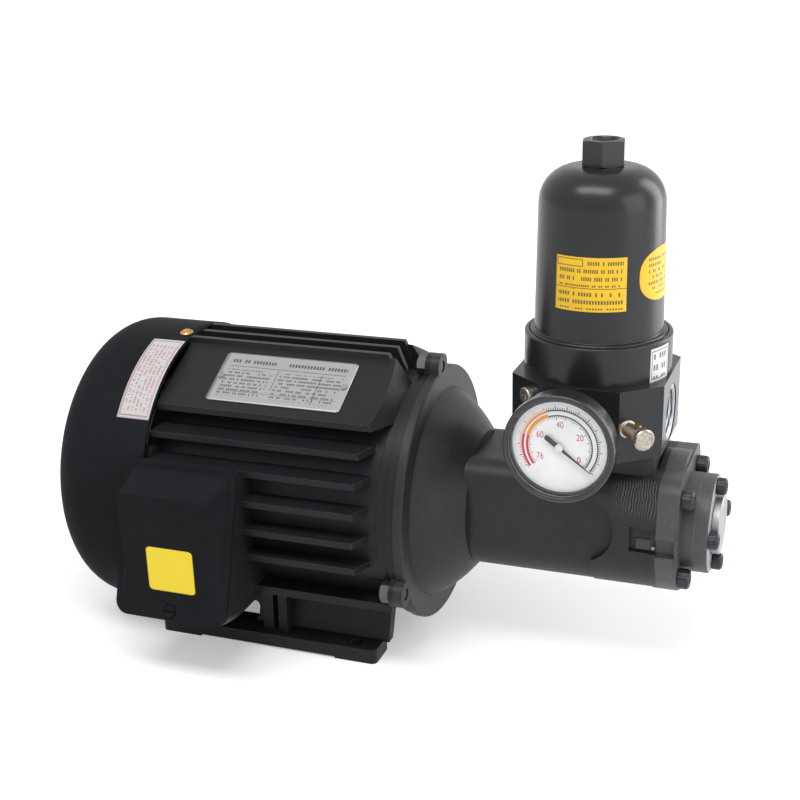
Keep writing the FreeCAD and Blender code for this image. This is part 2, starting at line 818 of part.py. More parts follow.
def cooling_fan():
    body = shaft_body("cooling_fan")
    front = BEARING_REAR - 4.5
    rear = front - d.fan_width
    bore = d.journal_rear - 1
    spun(body, [(rear, bore), (rear, d.fan_hub_radius - 2), (front - d.fan_plate, d.fan_hub_radius),
                (front - d.fan_plate, d.fan_radius - 6), (front, d.fan_radius - 8), (front, bore)])
    sketch = sketch_on(body, "YZ_Plane", rear)
    half = d.blade_thickness / 2
    outline(sketch, [(-half, d.fan_hub_radius - 3), (half, d.fan_hub_radius - 3),
                     (half, d.fan_radius), (-half, d.fan_radius)])
    blade = pad(body, sketch, d.fan_width)
    patterned(body, [blade], FAN_BLADES)
    clip = shaft_body("fan_clip")
    spun(clip, box_corners(rear - 1.2, bore - 0.6, rear, bore + 3))
    sketch = sketch_on(clip, "YZ_Plane", rear - 2)
    rectangle(sketch, -3, -bore - 5, 3, -bore + 2)
    cut(clip, sketch, 4)
    return rear


def motor_shaft(fan_rear):
    """Turned shaft: fan seat with a clip groove, two journals, core seat and coupling stub."""
    body = shaft_body("motor_shaft")
    seat, groove_floor = d.journal_rear - 1, d.journal_rear - 1.6
    tail = fan_rear - 3.5
    spun(body, [(tail, 0), (tail, seat - 1), (tail + 1, seat), (fan_rear - 1.2, seat),
                (fan_rear - 1.2, groove_floor), (fan_rear, groove_floor), (fan_rear, seat),
                (BEARING_REAR, seat), (BEARING_REAR, d.journal_rear),
                (BEARING_REAR_END, d.journal_rear), (BEARING_REAR_END, d.shaft_radius),
                (BEARING_FRONT, d.shaft_radius), (BEARING_FRONT, d.journal_front),
                (BEARING_FRONT_END, d.journal_front), (BEARING_FRONT_END, STUB_RADIUS),
                (MOTOR_HUB_FACE - 1, STUB_RADIUS), (MOTOR_HUB_FACE, STUB_RADIUS - 1),
                (MOTOR_HUB_FACE, 0)])
    keyway(body, KEYS[0])


STUB_RADIUS = d.journal_front - 3
MOTOR_HUB_FACE = d.motor_stub - 2
PUMP_HUB_FACE = MOTOR_HUB_FACE + d.jaw_length
HUB_LENGTH = 14

# Each key: where it starts, its length, width, floor and top above the shaft line
KEYS = (
    (MOTOR_HUB_FACE - HUB_LENGTH + 2, HUB_LENGTH - 4, 5, STUB_RADIUS - 2.5, STUB_RADIUS + 2.3),
    (PUMP_HUB_FACE + 3, HUB_LENGTH - 4, 3, d.pump_shaft_radius - 1.4, d.pump_shaft_radius + 1.4),
    (ROTOR_REAR + 2, d.rotor_width - 4, 2, d.pump_shaft_radius - 1.0, d.pump_shaft_radius + 1.0),
)


def keyway(body, key):
    """A slot the size of its key, cut into a shaft or a bore."""
    start, length, width, floor, top = key
    sketch = sketch_on(body, "XY_Plane", floor)
    rectangle(sketch, start, -width / 2, start + length, width / 2)
    cut(body, sketch, top - floor)


def shaft_keys():
    body = shaft_body("shaft_keys")
    for start, length, width, floor, top in KEYS:
        sketch = sketch_on(body, "XY_Plane", floor)
        rectangle(sketch, start, -width / 2, start + length, width / 2)
        pad(body, sketch, top - floor)


def stator():
    rear, front = -d.core_rear, d.core_front
    core = tube("stator_core", rear, front, d.stator_bore, d.bore_radius)
    sketch = sketch_on(core, "YZ_Plane", rear - 1)
    inner = d.stator_bore + 3
    outer = inner + d.slot_depth
    half = d.slot_opening / 2
    outline(sketch, [(-half, inner), (half, inner), (half + 1.6, outer), (-half - 1.6, outer)])
    slot = cut(core, sketch, front - rear + 2)
    patterned(core, [slot], STATOR_SLOTS)
    coils = shaft_body("stator_windings")
    side = d.coil_overhang
    low, high = inner + 0.2, outer - 0.2
    sketch = sketch_on(coils, "YZ_Plane", rear - 2)
    outline(sketch, [(-half + 0.2, low), (half - 0.2, low), (half + 1.3, high), (-half - 1.3, high)])
    bar = pad(coils, sketch, front - rear + 4)
    patterned(coils, [bar], STATOR_SLOTS)
    for start, inward in ((rear - side, rear), (front + side, front)):
        spun(coils, [(start, low, 3), (start, high + 2, 5), (inward, high + 1), (inward, low - 1)])


def rotor_core():
    body = shaft_body("rotor_core")
    outer = d.stator_bore - d.air_gap
    rear, front = -d.core_rear, d.core_front
    spun(body, [(rear - 2, d.shaft_radius), (rear - 2, outer - 12), (rear - 9, outer - 10),
                (rear - 9, outer - 1), (rear, outer), (front, outer), (front + 9, outer - 1),
                (front + 9, outer - 10), (front + 2, outer - 12), (front + 2, d.shaft_radius)])


def bearings():
    outer = shaft_body("bearing_outer_races")
    inner = shaft_body("bearing_inner_races")
    balls = shaft_body("bearing_balls")
    rows = (
        (BEARING_FRONT, d.front_bearing_width, d.journal_front, d.front_bearing_radius,
         d.front_bearing_ball, FRONT_BALLS),
        (BEARING_REAR, d.rear_bearing_width, d.journal_rear, d.rear_bearing_radius,
         d.rear_bearing_ball, REAR_BALLS),
    )
    for start, width, bore, outside, ball, count in rows:
        pitch = (bore + outside) / 2
        end = start + width
        spun(outer, box_corners(start, pitch + ball + d.race_gap, end, outside))
        spun(inner, box_corners(start, bore, end, pitch - ball - d.race_gap))
        sphere = balls.newObject("PartDesign::AdditiveSphere", "Ball")
        sphere.AttachmentSupport = [(origin_feature(balls, "XY_Plane"), "")]
        sphere.MapMode = "FlatFace"
        middle = start + width / 2
        sphere.AttachmentOffset = Placement(Vector(middle.value, 0, pitch.value), Rotation())
        sphere.setExpression("AttachmentOffset.Base.x", middle.text)
        sphere.setExpression("AttachmentOffset.Base.z", pitch.text)
        sphere.Radius = ball.value
        sphere.setExpression("Radius", ball.text)
        doc.recompute()
        patterned(balls, [sphere], count)


# Adapter, coupling and pump

def section(sketch, half, top, bottom, upper, lower):
    """The neck's cross-section: flat top, full round belly."""
    outline(sketch, [(-half, -bottom, lower), (half, -bottom, lower), (half, top, upper),
                     (-half, top, upper)])


def adapter_housing():
    body = shaft_body("adapter_housing")
    rear, front = d.frame_front, FLANGE_FRONT
    tip = front + d.dome_length
    knee = front + d.dome_length * 0.42
    spun(body, [(rear, 0), (rear, d.flange_radius), (front, d.flange_radius, 1.5),
                (front, d.dome_base), (knee, d.dome_base - 5.6, 70), (tip, d.dome_tip), (tip, 0)])
    spun(body, box_corners(rear - 4, d.bore_radius - 6, rear + 1, d.bore_radius))
    spun(body, box_corners(BEARING_FRONT - 1, d.front_bearing_radius, rear + 1,
                           d.front_bearing_radius + 6))
    joint_ears(body, rear, d.flange_thickness, d.bore_radius - 6)
    sketch = sketch_on(body, "YZ_Plane", front + 4)
    section(sketch, d.neck_half, d.neck_top, d.neck_bottom, 11, 24)
    pad(body, sketch, d.pump_start - front)
    sketch = sketch_on(body, "YZ_Plane", d.pump_start)
    section(sketch, d.pump_half, d.pump_top, d.pump_bottom, 11, 28)
    pad(body, sketch, d.pump_joint - d.pump_start)
    sketch = sketch_on(body, "YZ_Plane", d.pump_joint - 3)
    circle(sketch, 0, 0, d.body_boss)
    pad(body, sketch, 3)
    sketch = sketch_on(body, "XY_Plane", d.neck_top - 4)
    rectangle(sketch, d.filter_middle - 26, -25, d.pump_joint - 4, 25, 5)
    pad(body, sketch, d.head_seat - d.neck_top + 4)
    for start, length in ((d.neck_half, d.pump_half), (-d.pump_half - 1, d.pump_half + 1)):
        sketch = sketch_on(body, "XZ_Plane", start)
        circle(sketch, d.cutaway_x, d.cutaway_up, d.cutaway_radius)
        cut(body, sketch, length - d.neck_half)
    housing_bores(body)
    front_recess(body)


def housing_bores(body):
    drill(body, BEARING_FRONT, 0, 0, d.front_bearing_radius, d.front_bearing_width)
    drill(body, BEARING_FRONT_END, 0, 0, d.chamber_radius, d.chamber_end - BEARING_FRONT_END)
    drill(body, d.chamber_end - 1, 0, 0, d.seal_radius, d.seal_width + 1)
    drill(body, SEAL_FRONT - 1, 0, 0, d.pump_shaft_radius + 2, 4)
    drill(body, SEAL_FRONT + 2, 0, 0, d.suction_radius, d.pump_joint - SEAL_FRONT)
    drill(body, SPIGOT_REAR, 0, 0, d.spigot_radius, d.spigot_length + 1)
    groove(body, box_corners(SPIGOT_REAR - RING_WIDTH, d.spigot_radius - RING_DEPTH,
                             SPIGOT_REAR + 1, d.spigot_radius))
    drill_all(body, d.frame_front - 1, JOINT_SPOTS, d.bolt_radius, d.flange_thickness + 2)
    drill_all(body, d.pump_joint - 12, BODY_BOLT_SPOTS, d.bolt_radius, 13)
    sketch = sketch_on(body, "XY_Plane")
    circle(sketch, d.filter_middle, 0, d.riser_radius)
    cut(body, sketch, d.head_seat + 1)
    sketch = sketch_on(body, "XY_Plane", d.head_seat - 12)
    for x in (-HEAD_SCREW_OFFSET, HEAD_SCREW_OFFSET):
        for y in (-HEAD_SCREW_OFFSET, HEAD_SCREW_OFFSET):
            circle(sketch, d.filter_middle + x, y, d.bolt_radius)
    cut(body, sketch, 13)
    side = sketch_on(body, "XZ_Plane", -d.pump_half - 1)
    circle(side, PORT_X, 0, PORT_RADIUS)
    cut(body, side, PORT_LENGTH + 1)
    side = sketch_on(body, "XZ_Plane", PORT_LENGTH - d.pump_half - 1)
    circle(side, OUTLET_X, 0, OUTLET_RADIUS)
    cut(body, side, d.pump_half - PORT_LENGTH - d.spigot_radius + 3)


def front_recess(body):
    """The shallow machined window on the front of the pump section, with its small pad."""
    depth = d.recess_depth
    sketch = sketch_on(body, "XZ_Plane", d.pump_half - depth)
    rectangle(sketch, d.pump_joint - 13, -4.5, d.pump_joint + 1, 8.5)
    cut(body, sketch, depth + 3)
    sketch = sketch_on(body, "XZ_Plane", d.pump_half - depth - 1)
    rectangle(sketch, d.pump_joint - 10, -3, d.pump_joint - 2.6, 2.4)
    pad(body, sketch, depth)
    sketch = sketch_on(body, "XZ_Plane", d.pump_half - depth - 5)
    circle(sketch, RECESS_SCREW_X, -2.2, RECESS_SCREW)
    cut(body, sketch, 5)
    screw = shaft_body("recess_screw")
    sketch = sketch_on(screw, "XZ_Plane", d.pump_half - depth - 5)
    circle(sketch, RECESS_SCREW_X, -2.2, RECESS_SCREW)
    pad(screw, sketch, 6)


SEAL_FRONT = d.chamber_end + d.seal_width
SPIGOT_REAR = d.pump_joint - d.spigot_length
RING_WIDTH = 1.8
RING_DEPTH = 3
HEAD_SCREW_OFFSET = 13.4
PORT_RADIUS = 7.5
PORT_LENGTH = 12
PORT_X = d.pump_joint - 11
OUTLET_X = d.pump_joint - 3.5
OUTLET_RADIUS = 2.5
RECESS_SCREW = 0.9
RECESS_SCREW_X = d.pump_joint - 1.4
BODY_BOLT_SPOTS = [(y * d.body_bolt_across, z * d.body_bolt_up)
                   for y in (-1, 1) for z in (-1, 1)]
COVER_BOLT_SPOTS = [around(d.cover_bolt_circle, angle) for angle in (0, 90, 180, 270)]


def joint_bolts():
    """Studs in the adapter's flange, with nuts behind the frame's lugs."""
    start = d.frame_front - d.joint_lug_thickness - d.nut_height
    studs = shaft_body("adapter_bolts")
    for x, end, radius in ((start - 1.5, start, d.bolt_radius - 0.6),
                           (start, FLANGE_FRONT - 0.5, d.bolt_radius)):
        sketch = sketch_on(studs, "YZ_Plane", x)
        for y, z in JOINT_SPOTS:
            circle(sketch, y, z, radius)
        pad(studs, sketch, end - x)
    nuts = shaft_body("adapter_nuts")
    sketch = sketch_on(nuts, "YZ_Plane", start)
    for (y, z), angle in zip(JOINT_SPOTS, JOINT_ANGLES):
        regular(sketch, y, z, d.nut_width, turn=-angle)
    pad(nuts, sketch, d.nut_height)
    drill_all(nuts, start - 1, JOINT_SPOTS, d.bolt_radius, d.nut_height + 2)


def sector(sketch, angle, inner, inner_half, outer, outer_half):
    corners = [around(inner, angle - inner_half), around(outer, angle - outer_half),
               around(outer * 1.05, angle), around(outer, angle + outer_half),
               around(inner, angle + inner_half)]
    outline(sketch, corners)


def hub(label, start, end, jaw_start, bore, angle, key):
    body = tube(label, start, end, bore, d.hub_radius)
    sketch = sketch_on(body, "YZ_Plane", jaw_start)
    sector(sketch, angle, d.hub_radius / 2, 13, d.hub_radius * 0.94, 20)
    jaw = pad(body, sketch, d.jaw_length)
    patterned(body, [jaw], 3)
    keyway(body, key)
    return body


def coupling():
    hub("motor_hub", MOTOR_HUB_FACE - HUB_LENGTH, MOTOR_HUB_FACE, MOTOR_HUB_FACE, STUB_RADIUS,
        90, KEYS[0])
    hub("pump_hub", PUMP_HUB_FACE, PUMP_HUB_FACE + HUB_LENGTH + 2, MOTOR_HUB_FACE,
        d.pump_shaft_radius, 30, KEYS[1])
    spider = shaft_body("coupling_spider")
    start = MOTOR_HUB_FACE + d.hub_gap
    length = d.jaw_length - 2 * d.hub_gap
    disc(spider, start, 0, 0, d.spider_core, length)
    sketch = sketch_on(spider, "YZ_Plane", start)
    ear(sketch, 0, 0, d.hub_radius * 0.94, 3.2)
    leg = pad(spider, sketch, length)
    patterned(spider, [leg], 6)


def pump_shaft():
    body = shaft_body("pump_shaft")
    end = NOSE_FRONT + d.cover_thickness - 1
    radius = d.pump_shaft_radius
    start = PUMP_HUB_FACE + 1
    spun(body, [(start, 0), (start, radius - 0.6), (start + 0.6, radius), (end - 0.6, radius),
                (end, radius - 0.6), (end, 0)])
    keyway(body, KEYS[1])
    keyway(body, KEYS[2])


def seals_and_bushes():
    inner = d.pump_shaft_radius + d.running_gap
    tube("shaft_seal", d.chamber_end, SEAL_FRONT, inner, d.seal_radius)
    bushes = shaft_body("shaft_bushes")
    for start, end in ((SPIGOT_REAR, ROTOR_REAR), (NOSE_FRONT, COVER_FRONT - 0.8)):
        spun(bushes, box_corners(start, inner, end, d.bush_radius))
    rings = shaft_body("seal_rings")
    spun(rings, box_corners(SPIGOT_REAR - RING_WIDTH, d.spigot_radius - RING_DEPTH, SPIGOT_REAR,
                            d.spigot_radius - 0.4))


def pump_body():
    body = shaft_body("pump_body")
    start = d.pump_joint
    sketch = sketch_on(body, "YZ_Plane", start)
    section(sketch, d.pump_half, d.pump_top, d.pump_bottom, 11, 28)
    pad(body, sketch, d.body_thickness)
    disc(body, start, 0, 0, d.body_boss, d.body_thickness - 1)
    disc(body, SPIGOT_REAR, 0, 0, d.spigot_radius - d.running_gap, NOSE_FRONT - SPIGOT_REAR)
    disc(body, BODY_FRONT - 1, 0, 0, d.nose_radius, d.nose_length + 1)
    drill(body, SPIGOT_REAR - 1, 0, 0, d.bush_radius, NOSE_FRONT - SPIGOT_REAR)
    drill(body, ROTOR_REAR, 0, d.eccentricity, d.outer_rotor_radius + d.running_gap,
          d.rotor_width + 1)
    for angle, rear in ((0, SPIGOT_REAR - 1), (180, OUTLET_X - OUTLET_RADIUS)):
        sketch = sketch_on(body, "YZ_Plane", rear)
        kidney(sketch, angle, d.tooth_circle - 3, d.tooth_circle + 0.6, 46)
        cut(body, sketch, ROTOR_REAR - rear + 1)
    sketch = sketch_on(body, "XZ_Plane", -d.spigot_radius - 1)
    circle(sketch, OUTLET_X, 0, OUTLET_RADIUS)
    cut(body, sketch, d.spigot_radius - d.tooth_circle + 2)
    drill_all(body, start - 1, BODY_BOLT_SPOTS, d.bolt_radius + d.bolt_clearance,
              d.body_thickness + 2)
    drill_all(body, BODY_FRONT - 3, COVER_BOLT_SPOTS, d.cover_bolt_radius, d.nose_length + 4)
    sketch = sketch_on(body, "XZ_Plane", d.pump_half - d.recess_depth)
    rectangle(sketch, start - 1, -5.5, BODY_FRONT - 1, 4)
    cut(body, sketch, d.recess_depth + 3)


def kidney(sketch, angle, inner, outer, half):
    steps = [angle + half * (k / 2 - 1) for k in range(5)]
    outline(sketch, [around(outer, a) for a in steps] + [around(inner, a) for a in reversed(steps)])


def outer_rotor():
    """Ring with circular teeth on its pitch circle; the inner rotor's curve rolls on them."""
    body = new_body("outer_rotor", (ROTOR_REAR, 0, d.shaft_height + d.eccentricity))
    root = d.tooth_circle - d.tooth_radius + 2 * d.eccentricity + 0.1
    width = d.rotor_width - 2 * ROTOR_SIDE_GAP
    spun(body, box_corners(ROTOR_SIDE_GAP, root, ROTOR_SIDE_GAP + width, d.outer_rotor_radius))
    sketch = sketch_on(body, "YZ_Plane", ROTOR_SIDE_GAP)
    circle(sketch, 0, d.tooth_circle, d.tooth_radius)
    tooth = pad(body, sketch, width)
    patterned(body, [tooth], OUTER_LOBES)


ROTOR_SIDE_GAP = 0.03


def trochoid(count):
    """Points of the curve that the outer rotor's teeth leave as they roll round the inner one.

    A tooth centre moves on an epitrochoid; the rotor's face is the curve one tooth radius and
    a running gap inside it.
    """
    reach = sheet.get("tooth_circle")
    shift = sheet.get("eccentricity")
    inside = sheet.get("tooth_radius") + sheet.get("running_gap") + 0.01
    points = []
    for k in range(count):
        turn = 2 * math.pi * k / count
        fast = turn * OUTER_LOBES
        x = reach * math.cos(turn) + shift * math.cos(fast)
        y = reach * math.sin(turn) + shift * math.sin(fast)
        along_x = -reach * math.sin(turn) - shift * OUTER_LOBES * math.sin(fast)
        along_y = reach * math.cos(turn) + shift * OUTER_LOBES * math.cos(fast)
        speed = math.hypot(along_x, along_y)
        points.append(Vector(0, y - inside * -along_x / speed, x - inside * along_y / speed))
    return points


def inner_rotor():
    curve = Part.BSplineCurve()
    curve.interpolate(Points=trochoid(INNER_LOBES * 16), PeriodicFlag=True)
    face = Part.Face(Part.Wire([curve.toShape()]))
    width = sheet.get("rotor_width") - 2 * ROTOR_SIDE_GAP
    shaft = sheet.get("pump_shaft_radius")
    solid = face.extrude(Vector(width, 0, 0))
    solid = solid.cut(Part.makeCylinder(shaft, width, Vector(0, 0, 0), Vector(1, 0, 0)))
    start, length, key_width, floor, top = (size(value).value for value in KEYS[2])
    offset = start - ROTOR_REAR.value - ROTOR_SIDE_GAP
    slot = Part.makeBox(length, key_width, top - floor, Vector(offset, -key_width / 2, floor))
    part = doc.addObject("Part::Feature", "inner_rotor")
    part.Label = "inner_rotor"
    part.Shape = solid.cut(slot)
    place(part, (ROTOR_REAR + ROTOR_SIDE_GAP, 0, d.shaft_height))
    parts.append(part)


def pump_cover():
    body = shaft_body("pump_cover")
    front = COVER_FRONT + d.cover_boss_height
    spun(body, [(NOSE_FRONT, 0), (NOSE_FRONT, d.nose_radius), (COVER_FRONT, d.nose_radius, 1),
                (COVER_FRONT, d.cover_boss_radius), (front, d.cover_boss_radius, 0.8),
                (front, 0)])
    drill(body, NOSE_FRONT - 1, 0, 0, d.bush_radius, COVER_FRONT - NOSE_FRONT + 0.2)
    drill_all(body, NOSE_FRONT - 1, COVER_BOLT_SPOTS, d.cover_bolt_radius + d.bolt_clearance,
              d.cover_thickness + 2)
    cap_screws(shaft_body("body_bolts"), BODY_FRONT, BODY_BOLT_SPOTS, d.bolt_radius,
               d.bolt_head_radius, d.bolt_head_height, d.body_thickness + 10)
    cap_screws(shaft_body("cover_bolts"), COVER_FRONT, COVER_BOLT_SPOTS, d.cover_bolt_radius,
               d.cover_head_radius, d.cover_head_height, d.cover_thickness + d.nose_length)


# Suction filter on top of the pump section

def filter_head():
    body = filter_body("filter_head")
    length, depth = d.head_half_length, d.head_half_depth
    inner_x, inner_y = length - d.head_corner_length, depth - d.head_corner_depth
    sketch = sketch_on(body, "XY_Plane")
    outline(sketch, [(x * along, y * across) for x, y, along, across in (
        (-1, -1, inner_x, depth), (1, -1, inner_x, depth), (1, -1, length, inner_y),
        (1, 1, length, inner_y), (1, 1, inner_x, depth), (-1, 1, inner_x, depth),
        (-1, 1, length, inner_y), (-1, -1, length, inner_y))])
    pad(body, sketch, d.head_block)
    spun(body, [(0, d.head_block - 1), (d.collar_radius, d.head_block - 1),
                (d.collar_radius, d.collar_top, 1), (0, d.collar_top)], "V_Axis")
    groove(body, [(0, d.cavity_floor), (d.cavity_radius, d.cavity_floor),
                  (d.cavity_radius, d.head_block + 1), (SKIRT_RADIUS, d.head_block + 1),
                  (SKIRT_RADIUS, d.collar_top - 3), (d.bead_radius + 0.5, d.collar_top - 3),
                  (d.bead_radius + 0.5, d.collar_top + 1), (0, d.collar_top + 1)], "V_Axis")
    spun(body, [(d.riser_radius, 0), (d.post_radius, 0), (d.post_radius, d.post_top),
                (d.riser_radius, d.post_top)], "V_Axis")
    groove(body, [(0, -1), (d.riser_radius, -1), (d.riser_radius, d.post_top + 1),
                  (0, d.post_top + 1)], "V_Axis")
    sketch = sketch_on(body, "YZ_Plane", length - d.port_length)
    circle(sketch, 0, d.port_height, d.port_radius)
    cut(body, sketch, d.port_length + 1)
    sketch = sketch_on(body, "YZ_Plane", length - 0.8)
    circle(sketch, 0, d.port_height, d.port_radius + 2)
    cut(body, sketch, 1.8)
    sketch = sketch_on(body, "XY_Plane", -1)
    head_screw_circles(sketch, d.bolt_radius + d.bolt_clearance)
    cut(body, sketch, d.cavity_floor + 2)
    sketch = sketch_on(body, "XZ_Plane", depth - 12)
    circle(sketch, GAUGE_SHIFT, GAUGE_RISE, d.socket_radius - 1.5)
    cut(body, sketch, 13)
    angled_hole(body, d.vent_x, d.vent_y, d.vent_z, 90 - d.vent_turn, VENT_THREAD)
    angled_hole(body, -SIDE_PLUG_X, SIDE_PLUG_Y, SIDE_PLUG_Z, d.vent_turn - 90, SIDE_PLUG_THREAD)
    screws = filter_body("head_screws")
    for rise, height, radius in ((-10, d.cavity_floor + 10, d.bolt_radius),
                                 (d.cavity_floor, d.bolt_head_height, d.bolt_head_radius)):
        sketch = sketch_on(screws, "XY_Plane", rise)
        head_screw_circles(sketch, radius)
        pad(screws, sketch, height)


def head_screw_circles(sketch, radius):
    for x in (-HEAD_SCREW_OFFSET, HEAD_SCREW_OFFSET):
        for y in (-HEAD_SCREW_OFFSET, HEAD_SCREW_OFFSET):
            circle(sketch, x, y, radius)


def angled_hole(body, x, y, z, turn, radius):
    """A hole into one of the head's corner faces, square to a line turned from the front."""
    depth = 9
    sketch = tilted_sketch(body, "XZ_Plane", turn, x - depth * sin(turn), z,
                           y - depth * cos(turn), Vector(0, 1, 0))
    circle(sketch, 0, 0, radius)
    cut(body, sketch, depth + 8)


SKIRT_RADIUS = d.bowl_radius + 0.3
GAUGE_SHIFT = d.gauge_middle - d.filter_middle
GAUGE_RISE = d.gauge_height - d.head_seat
VENT_THREAD = 2.5
SIDE_PLUG_X = 26.0
SIDE_PLUG_Y = 32.2
SIDE_PLUG_Z = 28.0
SIDE_PLUG_THREAD = 2.5


def bowl():
    body = filter_body("filter_bowl")
    outer, top = d.bowl_radius, d.bowl_top
    bottom = d.collar_top - d.bowl_skirt
    bead = d.collar_top - 3 + 0.2
    wall = d.bowl_wall
    spun(body, [(outer - wall, bottom), (outer, bottom), (outer, bead), (d.bead_radius, bead),
                (d.bead_radius, bead + d.bead_height, 1.2), (outer, bead + d.bead_height),
                (d.bowl_top_radius, top, d.bowl_round), (0, top), (0, top - wall),
                (d.bowl_top_radius - wall, top - wall, d.bowl_round - wall)], "V_Axis")
    sketch = sketch_on(body, "XY_Plane", top - wall - 3)
    circle(sketch, 0, 0, d.plug_thread + 3)
    pad(body, sketch, 4)
    sketch = sketch_on(body, "XY_Plane", top - wall - 4)
    circle(sketch, 0, 0, d.plug_thread)
    cut(body, sketch, wall + 6)
    plug = filter_body("bowl_plug")
    sketch = sketch_on(plug, "XY_Plane", top)
    regular(sketch, 0, 0, d.plug_width, turn=10)
    pad(plug, sketch, d.plug_height)
    sketch = sketch_on(plug, "XY_Plane", top - wall - 3)
    circle(sketch, 0, 0, d.plug_thread)
    pad(plug, sketch, wall + 4)
    sketch = sketch_on(plug, "XY_Plane", top + d.plug_height - 5)
    circle(sketch, 0, 0, d.plug_width * 0.3)
    cut(plug, sketch, 6)


def element():
    low = d.post_top - 3
    body = filter_body("filter_element")
    start, end = low + d.end_cap, d.element_top - d.end_cap
    sketch = sketch_on(body, "XY_Plane", start)
    circle(sketch, 0, 0, d.element_radius)
    circle(sketch, 0, 0, d.core_radius)
    pad(body, sketch, end - start)
    sketch = sketch_on(body, "XY_Plane", start - 1)
    inner = d.element_radius - d.element_fold
    half = 60 / ELEMENT_FOLDS
    outline(sketch, [(inner, 0), (inner + 12, -inner * tan(2.6 * half)),
                     (inner + 12, inner * tan(2.6 * half))])
    fold = cut(body, sketch, end - start + 2)
    patterned(body, [fold], ELEMENT_FOLDS, "Z_Axis")
    core = filter_body("element_core")
    inner = d.core_radius - d.core_wall
    spun(core, [(inner, start), (d.core_radius, start), (d.core_radius, end), (inner, end)],
         "V_Axis")
    sketch = sketch_on(core, "XZ_Plane", d.core_radius - 4)
    for k in range(4):
        circle(sketch, 0, start + 12 + 16 * k, 3)
    holes = cut(core, sketch, 6)
    patterned(core, [holes], 4, "Z_Axis")
    caps = filter_body("element_caps")
    rim = d.element_radius + 0.8
    spun(caps, [(d.post_radius + 0.1, low), (rim, low), (rim, low + d.end_cap),
                (d.post_radius + 0.1, low + d.end_cap)], "V_Axis")
    spun(caps, [(0, end), (rim, end), (rim, d.element_top), (0, d.element_top)], "V_Axis")
    spring = filter_body("element_spring")
    top = d.bowl_top - d.bowl_wall - 3
    steps = 3
    reach = (top - d.element_top) / steps
    wide, narrow = d.plug_thread + 9, d.plug_thread + 4
    left, right = [], []
    for k in range(steps + 1):
        radius = wide if k % 2 == 0 else narrow
        height = d.element_top + reach * k
        left.append((radius - 0.7, height))
        right.append((radius + 0.7, height))
    spun(spring, left + right[::-1], "V_Axis")


# Vacuum gauge, vent fitting and plug

def gauge():
    """The gauge's parts, each turned about the line out of its face."""
    rear, front = d.gauge_rear, d.gauge_front
    wall = d.gauge_wall
    case = gauge_body("gauge_case")
    radius = d.gauge_radius
    glass_seat = front - d.window_depth - d.window_thickness
    spun(case, [(rear, 0), (rear, radius - 4), (rear + 3, radius - 1), (front - 5, radius - 1),
                (front - 5, radius), (front, radius, 1), (front, radius - wall, 0.5),
                (glass_seat, radius - wall), (glass_seat, radius - wall - 1.2),
                (rear + 2, radius - wall - 1.2), (rear + 2, 0)])
    drill(case, rear - 1, 0, 0, GAUGE_NECK, 4)
    socket = gauge_body("gauge_socket")
    face = d.head_half_depth
    spun(socket, [(face - 9, 0), (face - 9, d.socket_radius - 1.5), (face, d.socket_radius - 1.5),
                  (face, d.socket_radius + 1.5), (rear, d.socket_radius + 1.5), (rear, GAUGE_NECK),
                  (rear + 2, GAUGE_NECK), (rear + 2, 0)])
    movement = gauge_body("gauge_movement")
    dial = front - d.dial_depth
    sketch = sketch_on(movement, "YZ_Plane", rear + 2)
    rectangle(sketch, -9, -7, 9, 7, 2)
    pad(movement, sketch, dial - d.dial_thickness - rear - 2)
    drill(movement, dial - d.dial_thickness - 4, 0, 0, SPINDLE + d.running_gap, 5)
    plate = gauge_body("gauge_dial")
    face_radius = radius - wall - 1.2
    spun(plate, [(dial - d.dial_thickness, SPINDLE + 0.5), (dial - d.dial_thickness, face_radius),
                 (dial, face_radius), (dial, SPINDLE + 0.5)])
    sketch = sketch_on(plate, "YZ_Plane", dial - 0.4)
    stop_y, stop_z = pointer_place(d.pointer_reach * 0.55, d.pointer_angle + 7)
    circle(sketch, stop_y, stop_z, 0.5)
    pad(plate, sketch, 1.4)
    window = gauge_body("gauge_window")
    spun(window, box_corners(glass_seat, 0, glass_seat + d.window_thickness, radius - wall))
    pointer = gauge_body("gauge_pointer")
    sketch = sketch_on(pointer, "YZ_Plane", dial + 0.6)
    corners = []
    for reach, half in ((-8.5, -1.3), (-2.5, -0.9), (d.pointer_reach * 0.6, -0.5),
                        (d.pointer_reach, -0.15), (d.pointer_reach, 0.15),
                        (d.pointer_reach * 0.6, 0.5), (-2.5, 0.9), (-8.5, 1.3)):
        corners.append((reach * cos(d.pointer_angle) - half * sin(d.pointer_angle),
                        -reach * sin(d.pointer_angle) - half * cos(d.pointer_angle)))
    outline(sketch, corners)
    pad(pointer, sketch, 0.6)
    disc(pointer, dial + 0.4, 0, 0, 2.6, 1.1)
    disc(pointer, dial - d.dial_thickness - 3, 0, 0, SPINDLE, d.dial_thickness + 4)


GAUGE_NECK = 4.0
SPINDLE = 0.8


def pointer_place(reach, angle):
    return reach * cos(angle), -reach * sin(angle)


